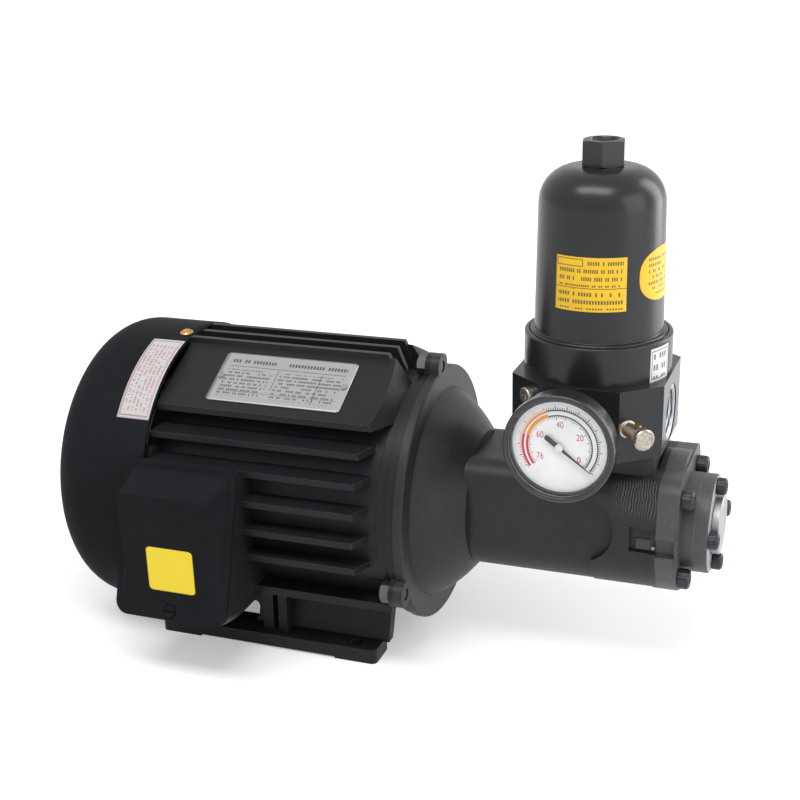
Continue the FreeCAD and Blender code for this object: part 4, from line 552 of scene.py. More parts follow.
def ruled_yellow(finish, u, v):
    """Rules, two boxes and rows of broken bars on the filter's square label."""
    upper = printed_rows(finish, u, v, 7, 34, 3, 0.78) * between(v, 0.46, 0.8)
    lower = printed_rows(finish, u, v, 7, 26, 8, 0.78) * between(v, 0.04, 0.4)
    title = printed_rows(finish, u, v, 7, 30, 5, 0.85) * (v > 0.84) * (u > 0.46)
    rule = between(v, 0.425, 0.44) + between(v, 0.4, 0.43) * between(u, 0.27, 0.285)
    box = frame_line(u / 0.42, (v - 0.82) / 0.16, 0.04, 0.06, 0.03, 0.1)
    inside = between(u, 0.05, 0.95)
    return ((upper + lower + title) * inside + rule + box).math("MINIMUM", 1)


def ruled_oval(finish, u, v):
    """Short rows of bars over one rule on the filter's round label."""
    rows = printed_rows(finish, u, v, 9, 26, 12, 0.65)
    rule = between(v, 0.14, 0.16) * between(u, 0.3, 0.7)
    return rows * between(u, 0.14, 0.86) * between(v, 0.24, 0.84) + rule


def ruled_plate(finish, u, v):
    """A two-column table with ruled lines on the nameplate."""
    rows = printed_rows(finish, u, v, 14, 66, 21, 0.68) * between(v, 0.1, 0.66)
    title = printed_rows(finish, u, v, 5.2, 44, 31, 0.85) * between(v, 0.8, 0.96)
    column = (between(u, 0.44, 0.445) * between(v, 0.3, 0.7)
              + between(u, 0.77, 0.775) * between(v, 0.1, 0.7))
    rules = (between(v, 0.72, 0.73) + between(v, 0.2, 0.207)) * between(u, 0.06, 0.94)
    inside = between(u, 0.06, 0.94) * (1 - between(u, 0.4, 0.46))
    return ((rows + title) * inside + column + rules).math("MINIMUM", 1)


def ruled_cowl(finish, u, v):
    """A ruled frame, rows of bars and a band across the cowl's tall label."""
    rows = printed_rows(finish, v, u, 8, 64, 41, 0.62) * between(u, 0.1, 0.9) * between(
        v, 0.08, 0.9)
    return (rows + frame_line(u, v, 0.05, 0.025, 0.03, 0.014)).math("MINIMUM", 1)


def ruled_collar(finish, u, v):
    """A frame with two rows of bars."""
    rows = printed_rows(finish, u, v, 3, 7, 50, 0.75) * between(u, 0.15, 0.85) * between(
        v, 0.1, 0.9)
    return (rows + frame_line(u, v, 0.06, 0.07, 0.03, 0.03)).math("MINIMUM", 1)


def plain_yellow(finish, u, v):
    """No print at all: only a slightly darker worn rim."""
    return (1 - between(u, 0.015, 0.985) * between(v, 0.015, 0.985)) * 0.3


def make_finishes():
    """One finish for each material slot, and those of pieces that differ from their slot."""
    tint = colours()
    FINISHES.update({
        "motor_casting": paint("motor_paint", 0.4, 0.4, 0.3, gloss_level=0.17),
        "sheet_black": paint("cowl_paint", 0.56, 0.25, 0.05, gloss_level=0.03),
        "plug_paint": paint("plug_paint", 0.3, 0.1, 0.05, 0.15, gloss_level=0.4),
        "pump_casting": pump_paint(),
        "pump_end": phosphate("pump_end_phosphate"),
        "pump_cover": phosphate("cover_phosphate", bare=True),
        "filter_casting": paint("filter_paint", 0.25, 0.12, 0.02, 0.05, gloss_level=0.34),
        "gauge_black": paint("gauge_paint", 0.2, 0.04, 0.02, 0.1, gloss_level=0.55),
        # Finish of the bevelled edges: a lighter grey that is rubbed paint and a painted highlight.
        "rubbed_and_highlight_edge": paint("rubbed_and_highlight_paint", 0.3, 0.2, 0.05, 0.6, gloss_level=0.4,
                             rubbed=sizes().rub_and_highlight),
        "machined_port": bare_metal("machined_port", (0.5, 0.52, 0.55), 0.36, (1, 5, 5), 0.3),
        "black_steel": dark_steel("black_screw_steel"),
        "zinc": bare_metal("zinc_plating", (0.3, 0.3, 0.29), 0.46, scratch=0.3),
        "dull_zinc": bare_metal("dull_zinc", (0.12, 0.12, 0.11), 0.5, scratch=0.3),
        "brass": bare_metal("bare_brass", tuple(tint.brass), 0.32),
        "electrical_steel": bare_metal("stacked_sheets", (0.3, 0.3, 0.32), 0.42, (12, 0.4, 0.4),
                                       0.5),
        "copper": bare_metal("winding_wire", (0.55, 0.2, 0.07), 0.35, (0.3, 6, 6), 0.5),
        "steel": bare_metal("ground_steel", (0.56, 0.56, 0.57), 0.24, (6, 1, 1)),
        "spring_steel": bare_metal("spring_steel_blue", (0.34, 0.35, 0.38), 0.3),
        "aluminium": bare_metal("bare_aluminium", (0.62, 0.63, 0.64), 0.34, (5, 1, 1)),
        "fan_plastic": moulded("fan_plastic", (0.03, 0.03, 0.032)),
        "rubber": moulded("oil_proof_rubber", (0.018, 0.018, 0.019), 0.62, 0.25),
        "block_plastic": moulded("terminal_plastic", (0.07, 0.04, 0.022), 0.4),
        "spider_plastic": moulded("spider_plastic", (0.42, 0.05, 0.02), 0.45),
        "plate": bare_metal("plate_blank", tuple(tint.plate), 0.34, (0.3, 4, 4)),
        "sintered": bare_metal("sintered_iron", (0.32, 0.32, 0.33), 0.5, scratch=0.5),
        "mesh": bare_metal("filter_mesh", (0.42, 0.42, 0.4), 0.45, (1, 1, 4), 0.8),
        "dial": moulded("dial_white", (0.94, 0.945, 0.96), 0.4, 0.03),
        "glass": window_glass(),
        "nickel": bare_metal("nickel_plating", (0.44, 0.41, 0.36), 0.3, scratch=0.35),
        "knob_nickel": worn_nickel(),
        "pointer": moulded("pointer_black", (0.012, 0.012, 0.014), 0.42, 0.05),
    })


def worn_nickel():
    """Plating worn through in flecks to the dark metal below."""
    finish = Finish("worn_nickel", metallic=1.0)
    fleck = finish.spread(finish.noise(0.9, 5, 0.7), 0.36, 0.6)
    colour = finish.blend(fleck, (0.2, 0.18, 0.15), (0.46, 0.43, 0.38))
    return finish.shade(colour, 0.42 - 0.12 * fleck, finish.bump(fleck, 0.3, 0.03))


# Places on the pump section, in metres: the toolmarks fade in and out between the two numbers of
# each pair, and the pad lies in the recess.
TOOLMARK_PITCH = 0.00132
TOOLMARKS_BEGIN, TOOLMARKS_END = (0.18, 0.187), 0.2026
TOOLMARKS_LOW, TOOLMARKS_HIGH = (0.0915, 0.098), (0.109, 0.1125)
PAD_X, PAD_Z = (0.1933, 0.2013), (0.0764, 0.0836)


def pump_paint():
    """Paint over a rough casting, with upright toolmarks beside the pump's front face and a worn pad in the
    recess. The marks are a sine of the distance along the shaft plus a soft sway. Their band is painted a lighter
    grey, most on the crests: a painted highlight."""
    finish = Finish("pump_paint", specular_ior_level=0.27)
    black = np.array(colours().paint) + 0.002
    cloud = finish.noise(26, 4)
    dusty = finish.spread(finish.noise(4, 6, 0.7), 0.5, 0.76) * 0.4
    colour = finish.blend(dusty, finish.blend(cloud, toned(black, 0.9), toned(black, 1.5)),
                          tuple(black * 1.8 + 0.01))
    x, _, z = finish.split(finish.place())
    along = finish.spread(x, *TOOLMARKS_BEGIN) * (x < TOOLMARKS_END)
    band = along * (finish.spread(z, *TOOLMARKS_LOW) * (1 - finish.spread(z, *TOOLMARKS_HIGH)))
    sway = finish.noise(9, 2) * 0.004
    ridge = ((x + sway) * (TURN / TOOLMARK_PITCH)).math("SINE")
    worn = ridge * finish.spread(finish.noise(2.4, 3), 0.3, 0.6)
    grain = finish.bump(finish.noise(0.9, 3), 0.4, 0.07)
    cast = finish.bump(finish.noise(3.8, 5, 0.65), 0.5, 0.3, grain)
    marks = finish.bump(worn * band, 0.9, 0.3, cast)
    # Painted highlight: the toolmark band is painted a lighter grey, most strongly on the crests.
    colour = finish.blend((worn + 0.3) * band * 0.6, colour, (0.12, 0.124, 0.13))
    pad = between(x, *PAD_X) * between(z, *PAD_Z)
    colour = finish.blend(pad * 0.8, colour, (0.055, 0.058, 0.057))
    return finish.shade(colour, 0.4 + 0.12 * cloud, marks)


COVER_FACE_DEPTH = 4.4
COVER_FACE_RADIUS = 24.5


def phosphate(name, bare=False):
    """Grey-black phosphate coat with bluish and greenish clouds. On the cover, the face that
    looks along the shaft is bare metal with fine lines turned round the shaft."""
    finish = Finish(name, specular_ior_level=0.4)
    cloud = finish.noise(9, 4, 0.6)
    fleck = finish.spread(finish.noise(2.2, 5, 0.7), 0.5, 0.75)
    coat = finish.blend(cloud, (0.042, 0.047, 0.054), (0.066, 0.066, 0.058))
    coat = finish.blend(fleck * 0.4, coat, (0.115, 0.115, 0.105))
    gloss = 0.4 + 0.12 * cloud
    grain = finish.bump(finish.noise(1.4, 4), 0.3, 0.06)
    if not bare:
        return finish.shade(coat, gloss, grain)
    x, y, z = finish.split(finish.place())
    up = z - SHAFT_HEIGHT * MM
    radius = (y * y + up * up).math("SQRT")
    face_from = (corners("pump_cover")[1][0] - COVER_FACE_DEPTH) * MM
    face = (x > face_from) * (radius < COVER_FACE_RADIUS * MM)
    line = finish.noise(0.25, 3, 0.6, finish.node("ShaderNodeCombineXYZ", {}, {0: radius}))
    metal = finish.blend(cloud, (0.2, 0.205, 0.21), (0.46, 0.47, 0.48))
    return finish.shade(finish.blend(face, coat, metal),
                        gloss * (1 - face) + face * (0.42 + 0.1 * line),
                        finish.bump(line * face, 0.25, 0.02, grain), face)


GLASS_IOR = 1.45


def window_glass():
    """Clear pane: nearly all of it is let through, and more light is thrown back at a slant."""
    finish = Finish("gauge_glass", ior=GLASS_IOR)
    slant = finish.node("ShaderNodeFresnel", {}, {"IOR": GLASS_IOR})
    smear = finish.noise(6, 3)
    return finish.shade((0.9, 0.93, 0.95), 0.03 + 0.03 * smear, alpha=0.01 + 0.3 * slant)


# Pieces

SLOTS = 18
SLOT_OUT, SLOT_IN = 54.0, 20.0
SLOT_HALF_WIDTH = 2.3
SLOT_COLUMNS = 8
SLOT_ROWS = 10
COWL_WALL = 1.6


def cowl_profile():
    """The cowl's outside from its rim to the middle of its rear, as rows (radius, distance behind
    the rim), in two parts: the turned side and the rear that the slots are cut in."""
    length = COWL_RIM - COWL_REAR
    side = profile((COWL_RADIUS, 0), (COWL_RADIUS, 4), (COWL_RADIUS, 20), (COWL_RADIUS, length, 22),
                   (SLOT_OUT + 0.8, length), steps=14)
    rear = [SLOT_OUT, SLOT_OUT - 0.8, SLOT_OUT - 2, *np.linspace(SLOT_OUT - 8, SLOT_IN + 6, 5),
            SLOT_IN + 2, SLOT_IN + 0.8, SLOT_IN, SLOT_IN - 1, 9, 0]
    return side, np.array([(r, length) for r in rear])


def fan_cowl(finish):
    """Shell turned about the shaft. The rear's columns bend so that each slot keeps its width:
    a slot's edge lies at its middle angle plus or minus asin(half width / radius)."""
    side, rear = cowl_profile()
    rows = np.concatenate([side, rear])
    half_width = np.interp(rear[:, 0], [19, 20, 20.8, 22, 52, 53.2, 54, 55],
                           [1.2, 1.2, 1.9, SLOT_HALF_WIDTH, SLOT_HALF_WIDTH, 1.9, 1.2, 1.2])
    half_width = np.concatenate([np.full(len(side), SLOT_HALF_WIDTH), half_width])
    edge = np.arcsin(np.clip(half_width / np.maximum(rows[:, 0], 4), 0, 0.3))
    step = TURN / SLOTS
    share = np.linspace(0, 1, SLOT_COLUMNS)[None]
    column = edge[:, None] + share * (step - 2 * edge[:, None])
    turn = (np.arange(SLOTS)[None, :, None] * step + column[:, None, :]).reshape(len(rows), -1)
    grid = np.stack([COWL_RIM - rows[:, 1:] + 0 * turn, rows[:, :1] * np.cos(turn),
                     SHAFT_HEIGHT + rows[:, :1] * np.sin(turn)], -1)
    skip = np.zeros((len(rows) - 1, grid.shape[1]), bool)
    skip[len(side):len(side) + SLOT_ROWS, SLOT_COLUMNS - 1::SLOT_COLUMNS] = True
    shell = Surface().add(grid[:, ::-1], skip=skip[:, ::-1][:, np.r_[1:grid.shape[1], 0]])
    piece(shell.mesh("cowl_shell"), finish, "fan_cowl", ["fan_cowl"], wall=COWL_WALL * MM)


# Socket screws: radius of the shank, radius of the head and height of the head
M5, M6 = (2.5, 4.25, 5.0), (3.0, 5.0, 6.0)
KNURL_WAVES, KNURL_DEPTH = 24, 0.09


def cap_screw(radius, head, height, length):
    """Socket screw standing on its bearing face: a knurled head, a six-sided socket and a shank.
    The knurl adds a cosine of the angle to the head's radius."""
    teeth = KNURL_DEPTH * np.cos(KNURL_WAVES * angles(96))
    key = hexagon(head)
    return turned([
        (0, -length), (radius - 0.5, -length), (radius, 0.6 - length), (radius, 0),
        (head - 0.35, 0), (head, 0.35), (head + teeth, 0.7), (head + teeth, height - 1.3),
        (head - 0.1, height - 0.9), (head - 0.75, height - 0.1), (head - 0.95, height),
        (key + 0.25, height), (key, height - 0.3), (key, height * 0.42), (0, height * 0.36)])


def nut(flats, height, bore, sides=72):
    """Six-sided nut: the height of its rim falls with the distance past the flats' circle."""
    side = hexagon(flats, sides)
    fall = (side - flats / 2) * 0.55
    return turned([(bore, 0.4), (bore + 0.4, 0), (flats / 2 - 0.1, 0), (side, fall),
                   (side, height - fall), (flats / 2 - 0.1, height), (bore + 0.4, height),
                   (bore, height - 0.4)], sides)


def threaded(radius, start, end, pitch, depth, sides):
    """Rows of a screw thread: the radius falls from its crest by a saw of the height over the
    pitch less the share of the turn, so its ridge climbs once round per pitch."""
    height = np.linspace(start, end, int(abs(end - start) / pitch * 4) + 1)
    saw = np.abs((height[:, None] / pitch - angles(sides) / TURN) % 1 * 2 - 1)
    return [(radius - depth * row, level) for row, level in zip(saw, height)]


JOINT_CIRCLE = 69.5
JOINT_TURNS = (90, -26, 206)
STUD_ROOT, STUD_CREST = 2.2, 2.95
NUT_FLATS, NUT_BORE = 10.0, 3.1


def joint_studs(finish):
    """Threaded studs with their ends turned down to the thread's root."""
    surface = Surface()
    low, high = corners("adapter_bolts")
    reach = high[0] - low[0]
    rows = [(0, 0), (STUD_ROOT, 0), *threaded(STUD_CREST, 0.4, reach - 0.4, 1.0, 0.5, 48),
            (STUD_ROOT, reach), (0, reach)]
    for turn in JOINT_TURNS:
        surface.add(along_shaft(turned(rows, 48), (low[0], *around(JOINT_CIRCLE, turn))))
    piece(surface.mesh("joint_studs"), finish, "adapter_bolts", ["adapter_bolts"])


def joint_nuts(finish):
    """One nut on each stud."""
    surface = Surface()
    low, high = corners("adapter_nuts")
    for turn in JOINT_TURNS:
        surface.add(along_shaft(nut(NUT_FLATS, high[0] - low[0], NUT_BORE),
                                (low[0], *around(JOINT_CIRCLE, turn))), round_rows=True)
    piece(surface.mesh("joint_nuts"), finish, "adapter_nuts", ["adapter_nuts"])


BODY_SCREWS = [(across * 23.2, up * 21.0) for across in (-1, 1) for up in (-1, 1)]
COVER_SCREWS = [(20.5, 0), (0, 20.5), (-20.5, 0), (0, -20.5)]


def pump_screws(finish, node, name, screw, spots):
    """Socket screws on the pump's end, at places (across, up) from the shaft's line."""
    low, high = corners(node)
    height = screw[2]
    surface = Surface()
    for across, up in spots:
        surface.add(along_shaft(cap_screw(*screw, high[0] - low[0] - height),
                                (high[0] - height, across, SHAFT_HEIGHT + up)))
    piece(surface.mesh(name), finish, node, [node])


# The filter bowl's heights, above the head's seat, and its radii
BEAD_LOW, BEAD_HIGH = 51.7, 55.3
BOWL_FOOT_RADIUS, BOWL_CROWN_RADIUS, BEAD_RADIUS = 31.3, 29.7, 33.4
BOWL_WALL = 2.5
PLUG_FLATS, PLUG_HEIGHT = 19.2, 12.0


def bowl_radius(height):
    """The bowl narrows evenly from its bead to its dome."""
    share = (height - BEAD_LOW) / (BOWL_TOP - HEAD_SEAT - BEAD_LOW)
    return BOWL_FOOT_RADIUS + (BOWL_CROWN_RADIUS - BOWL_FOOT_RADIUS) * share


def filter_bowl(finish):
    """Bowl turned about its upright line: bead, drafted wall and domed end, closed inside."""
    bottom, top = BOWL_BOTTOM - HEAD_SEAT, BOWL_TOP - HEAD_SEAT
    line = profile(
        (BOWL_FOOT_RADIUS - BOWL_WALL, bottom), (BOWL_FOOT_RADIUS, bottom),
        (BOWL_FOOT_RADIUS, BEAD_LOW), (BEAD_RADIUS, BEAD_LOW, 0.4), (BEAD_RADIUS, BEAD_HIGH, 1.1),
        (31.25, BEAD_HIGH, 0.5), (BOWL_CROWN_RADIUS, top, 17), (5.4, top), (5.0, top - 0.4),
        (5.0, top - BOWL_WALL), (BOWL_CROWN_RADIUS - BOWL_WALL, top - BOWL_WALL, 14), steps=10)
    shell = Surface().add(placed(turned(line, 160), (FILTER_X, 0, HEAD_SEAT)), round_rows=True)
    piece(shell.mesh("bowl_shell"), finish, "filter_bowl", ["filter_bowl"])


def bowl_plug(finish):
    """Six-sided plug with its rim turned down and a round hollow in its top. Its rim falls with
    the distance past the flats' circle."""
    low, high = corners("bowl_plug")
    side = hexagon(PLUG_FLATS)
    fall = (side - PLUG_FLATS / 2) * 0.6
    reach = high[2] - low[2] - PLUG_HEIGHT
    rows = turned([(0, -reach), (4.9, -reach), (4.9, 0), (9.5, 0), (side, fall * 0.6),
                   (side, PLUG_HEIGHT - fall), (9.3, PLUG_HEIGHT), (7.4, PLUG_HEIGHT),
                   (7.0, PLUG_HEIGHT - 0.5), (5.9, PLUG_HEIGHT - 4.5), (0, PLUG_HEIGHT - 5)])
    surface = Surface().add(placed(rows, (FILTER_X, 0, BOWL_TOP), side=(0.98, 0.17, 0)))
    piece(surface.mesh("plug_hexagon"), finish, "bowl_plug", ["bowl_plug"])


def wrapped(radius, turn, height, cells=(40, 24), outline=None):
    """A label wrapped on the filter's upright round wall: its map's u runs with the angle and v
    upwards. outline squeezes each row's ends to the width that it gives for the row."""
    rise = (1 - np.cos(np.linspace(0, math.pi, cells[1]))) / 2
    u, v = np.meshgrid(np.linspace(0, 1, cells[0]), rise)
    across = u if outline is None else 0.5 + (u - 0.5) * outline(v)
    angle = np.radians(turn[0] + across * (turn[1] - turn[0]))
    level = height[0] + v * (height[1] - height[0])
    reach = radius(level - HEAD_SEAT)
    grid = np.stack([FILTER_X + reach * np.cos(angle), reach * np.sin(angle), level], -1)
    return Surface().add(grid, round_columns=False, layout=np.stack([across, v], -1))


def oval(v):
    """Width of a rounded oblong at height v: full in the middle and round at its two ends."""
    return np.clip(1 - np.abs(2 * v - 1) ** 2.6, 0.0, 1) ** (1 / 2.2)


COLLAR_RADIUS = 36.0
LABEL_BLACK = (0.03, 0.028, 0.02)


def filter_labels(lift):
    """The square and the round label on the bowl and the small one on the collar. Each has its
    angles round the filter and its heights."""
    yellow = tuple(colours().sticker)
    on_bowl = lambda height: bowl_radius(height) + lift
    on_collar = lambda height: COLLAR_RADIUS + lift + 0 * height
    square = wrapped(on_bowl, (-119, -54.5), (193.5, 219))
    oblong = wrapped(on_bowl, (-42, 26), (195.5, 221), (48, 48), oval)
    small = wrapped(on_collar, (-35, -12), (158, 174.5))
    for name, sheet, node, paper in (
            ("bowl_label", square, "filter_bowl",
             label_paper("yellow_label", yellow, LABEL_BLACK, ruled_yellow)),
            ("bowl_round_label", oblong, "filter_bowl",
             label_paper("yellow_round_label", yellow, LABEL_BLACK, ruled_oval)),
            ("collar_label", small, "filter_head",
             label_paper("white_label", (0.72, 0.73, 0.74), (0.04, 0.04, 0.05), ruled_collar))):
        piece(sheet.mesh(name), paper, node, wall=lift * MM)


COWL_LABEL_X = (-72, 18.43)
COWL_LABEL_TURN = (37.5, 39)


def cowl_label(lift):
    """The tall label round the cowl: u runs along the shaft and v up round the shell."""
    u, v = np.meshgrid(np.linspace(0, 1, 14), np.linspace(0, 1, 48))
    turn = np.radians(COWL_LABEL_TURN[0] + COWL_LABEL_TURN[1] * v)
    reach = COWL_RADIUS + lift
    grid = np.stack([COWL_LABEL_X[0] + COWL_LABEL_X[1] * u, -reach * np.cos(turn),
                     SHAFT_HEIGHT + reach * np.sin(turn)], -1)
    sheet = Surface().add(grid, round_columns=False, layout=np.stack([u, v], -1))
    paper = label_paper("cowl_label_paper", (0.54, 0.535, 0.54), (0.4, 0.12, 0.15), ruled_cowl)
    piece(sheet.mesh("cowl_label"), paper, "fan_cowl", wall=lift * MM)


# The gauge

DIAL_DEPTH, WINDOW_DEPTH = 4.6, 1.2
PRINT_LEVEL = DIAL_DEPTH - 0.03
POINTER_LEVEL = DIAL_DEPTH - 1.25
REST_TURN, SWEEP = -37.0, 255.0
DIVISIONS, LONG_EVERY = 76, 5
LONG_MARK, SHORT_MARK, MARK_HALF_TURN = 2.0, 1.1, 0.55
AMBER_FROM, RED_FROM = 0.58, 0.79
OUTER_ARC, INNER_ARC = 17.9, 14.8
NUMBERS = ((0.02, "0"), (0.26, "20"), (0.5, "40"), (0.74, "60"), (0.97, "76"))
NUMBER_SIZE, NUMBER_WIDTH, NUMBER_REACH = 4.4, 0.8, 10.6


def on_gauge(points, rise=0.0):
    """Points drawn on the gauge: their own X to the right, Y up and Z out of the face, rise
    millimetres behind the case's front."""
    return placed(points, (GAUGE_X, GAUGE_FRONT + rise, GAUGE_Z), (0, -1, 0), ALONG)


def gauge_case(finish):
    """Case and bezel, one profile turned about the gauge's line."""
    depth = GAUGE_REAR - GAUGE_FRONT
    line = profile(
        (GAUGE_RADIUS - 4, -depth, 0.5), (GAUGE_RADIUS - 1, 3 - depth, 2), (GAUGE_RADIUS - 1, -5.4),
        (GAUGE_RADIUS, -5, 0.3), (GAUGE_RADIUS, 0, 1.1), (GAUGE_RADIUS - 2.4, -0.1, 0.6),
        (GAUGE_RADIUS - 2.5, -2.7), (GAUGE_RADIUS - 3.7, -2.7), (GAUGE_RADIUS - 3.7, 2 - depth),
        (4, 2 - depth), (4, -depth), steps=5)
    ring = Surface().add(on_gauge(turned(line, 160)), round_rows=True)
    piece(ring.mesh("gauge_shell"), finish, "gauge_case", ["gauge_case"])


def dial_turn(share):
    """Angle on the dial at a share of the scale, which runs from lower right to lower left."""
    return REST_TURN + SWEEP * share


def arc_band(surface, inner, outer, start, end, steps=60):
    """A flat ring sector between two angles of the dial, counted from the right, upwards."""
    turn = np.radians(np.linspace(start, end, steps))
    reach = np.array([inner, outer])[:, None]
    flat = np.stack([reach * np.cos(turn), reach * np.sin(turn), 0 * reach * turn], -1)
    surface.add(on_gauge(flat[::-1], PRINT_LEVEL), round_columns=False)


def dial_ink(name, colour):
    """Printing ink, nearly smooth."""
    return moulded(name, colour, 0.5, 0.02)


def dial_marks():
    """Scale arcs and division marks, printed as thin raised ink. A mark is an arc 1.1 degrees
    wide."""
    black, amber, red = Surface(), Surface(), Surface()
    for surface, start, end, outer, inner in ((black, 0, AMBER_FROM, 0.6, 0.6),
                                              (amber, AMBER_FROM, RED_FROM, 0.9, 1.5),
                                              (red, RED_FROM, 1, 1.1, 1.1)):
        arc_band(surface, OUTER_ARC - outer, OUTER_ARC, dial_turn(start), dial_turn(end))
        arc_band(surface, INNER_ARC, INNER_ARC + inner, dial_turn(start), dial_turn(end))
    for k in range(DIVISIONS + 1):
        share = k / DIVISIONS
        surface = black if share < AMBER_FROM else amber if share < RED_FROM else red
        length = SHORT_MARK if k % LONG_EVERY else LONG_MARK
        ends = dial_turn(share) - MARK_HALF_TURN, dial_turn(share) + MARK_HALF_TURN
        arc_band(surface, OUTER_ARC - 0.1, OUTER_ARC - 0.1 + length, *ends, 2)
        arc_band(surface, INNER_ARC + 0.1 - length, INNER_ARC + 0.1, *ends, 2)
    for name, surface, colour in (("dial_black_print", black, (0.02, 0.02, 0.025)),
                                  ("dial_red_print", red, (0.62, 0.02, 0.045)),
                                  ("dial_amber_print", amber, (0.9, 0.33, 0.03))):
        piece(surface.mesh(name), dial_ink(name + "_ink", colour), "gauge_dial")


def dial_numbers():
    """Plain numbers inside the scale, upright, in red."""
    ink = dial_ink("dial_number_ink", (0.55, 0.03, 0.06))
    for share, word in NUMBERS:
        curve = bpy.data.curves.new("number", "FONT")
        curve.body = word
        curve.size = NUMBER_SIZE * MM
        curve.align_x, curve.align_y = "CENTER", "CENTER"
        writer = bpy.data.objects.new("number", curve)
        bpy.context.scene.collection.objects.link(writer)
        mesh = bpy.data.meshes.new_from_object(
            writer.evaluated_get(bpy.context.evaluated_depsgraph_get()))
        bpy.data.objects.remove(writer)
        mesh.name = "dial_number_" + word
        points = np.empty(len(mesh.vertices) * 3)
        mesh.vertices.foreach_get("co", points)
        turn = math.radians(dial_turn(share))
        spot = NUMBER_REACH * np.array([math.cos(turn), math.sin(turn), 0])
        points = points.reshape(-1, 3) / MM * (NUMBER_WIDTH, 1, 1) + spot
        mesh.vertices.foreach_set("co", (on_gauge(points, PRINT_LEVEL) * MM).ravel())
        mesh.update()
        piece(mesh, ink, "gauge_dial")


def gauge_window(finish):
    """Pane with a slight dome: its front falls with the square of the distance from its middle."""
    radius = GAUGE_RADIUS - 2.5
    front = [(r, -WINDOW_DEPTH + 0.25 - 0.6 * (r / radius) ** 2)
             for r in np.linspace(0, radius, 14)]
    back = [(r, -WINDOW_DEPTH - 1.35) for r in (radius, radius / 2, 0)]
    pane = Surface().add(on_gauge(turned((front + back)[::-1])))
    piece(pane.mesh("gauge_pane"), finish, "gauge_window", ["gauge_window"])


def gauge_pointer(finish, metal):
    """Needle with a broad round tail, and a bright cap over the spindle. The needle is a line of
    places and half widths, turned to the scale's zero."""
    turn = math.radians(REST_TURN)
    c, s = math.cos(turn), math.sin(turn)
    x, half = np.array([[-8.4, 0.0], [-8.15, 0.75], [-7.4, 1.2], [-2, 1.15], [1.0, 0.75],
                        [9, 0.42], [18.3, 0.16], [18.6, 0.0]]).T
    grid = [np.stack([x * c - half * side * s, x * s + half * side * c, 0 * x + lift], -1)
            for side, lift in ((-1, 0.0), (-1, 0.35), (1, 0.35), (1, 0.0))]
    blade = Surface().add(on_gauge(np.array(grid), POINTER_LEVEL), round_rows=True,
                          round_columns=False)
    piece(blade.mesh("pointer_blade"), finish, "gauge_pointer", ["gauge_pointer"])
    line = profile((0, -3.4), (0.8, -3.4), (0.8, 0.1), (2.0, 0.1), (2.0, 1.0, 0.3), (0, 1.15),
                   steps=4)
    cap = Surface().add(on_gauge(turned(line, 48), POINTER_LEVEL))
    piece(cap.mesh("pointer_cap"), metal, "gauge_pointer")


# Fittings on the filter head

VENT_ROOT = (FILTER_X + 22.0, -35.6, HEAD_SEAT + 17.5)
VENT_AXIS = next(joint["axis"] for joint in frame["joints"] if joint["name"] == "vent_turn")
KNOB_START = 13.15
PORT_BORE, PORT_DEPTH, PORT_FACE_DEPTH, PORT_RISE = 12.05, 13.5, 0.8, 14.5
PORT_PITCH, PORT_THREAD_DEPTH = 1.8, 0.9


def vent_stem(finish):
    """Nickel stem with a collar against the head."""
    line = profile((0, -5.5), (2.5, -5.5), (2.5, 0), (4.4, 0), (4.4, 2, 0.4), (3.5, 2, 0.3),
                   (3.5, 12.7, 0.4), (1.2, 12.7), (1.2, 17), (0, 17), steps=4)
    stem = Surface().add(placed(turned(line, 64), VENT_ROOT, VENT_AXIS, UP))
    piece(stem.mesh("vent_stem"), finish, "vent_body", ["vent_body"])


def vent_knob(finish):
    """Round knob with a dished face. Its notched rim adds a cosine of 40 waves to the radius."""
    teeth = 0.12 * np.cos(40 * angles(120))
    rows = [(1.25, 4), (1.25, 0), (4.4, 0), (5.25, 0.8), (5.18 + teeth, 1.1), (5.18 + teeth, 3.8),
            (5.25, 4.1), (4.7, 4.85), (4.2, 4.9), (3.9, 4.6), (0.9, 4.5), (0, 4.7)]
    rows = turned([(radius, KNOB_START + rise) for radius, rise in rows], 120)
    knob = Surface().add(placed(rows, VENT_ROOT, VENT_AXIS, UP))
    piece(knob.mesh("knob_rim"), finish, "vent_knob", ["vent_knob"])


def port_thread(finish):
    """Bare face and thread of the suction port, as one sleeve inside the head's bore."""
    start = corners("filter_head")[1][0] - PORT_FACE_DEPTH
    crest = PORT_BORE - 0.1
    rows = [(PORT_BORE, -PORT_DEPTH), (PORT_BORE, 0.02), (PORT_BORE + 2, 0.02),
            (PORT_BORE + 2, 0.25), (PORT_BORE + 0.5, 0.25), (crest, -0.3),
            *threaded(crest, -0.4, -PORT_DEPTH, PORT_PITCH, PORT_THREAD_DEPTH, 96)]
    sleeve = Surface().add(along_shaft(turned(rows), (start, 0, HEAD_SEAT + PORT_RISE)),
                           round_rows=True)
    piece(sleeve.mesh("port_thread"), finish, "filter_head", slot="aluminium")


COWL_SCREW_X = -58.0
COWL_SCREW_TURNS = (84, -36, 204)
SCREW_HEAD, SCREW_RISE = 3.6, 1.7
SLOT_DEPTH, CROSS_HALF_WIDTH, CROSS_REACH = 0.9, 0.45, 2.5


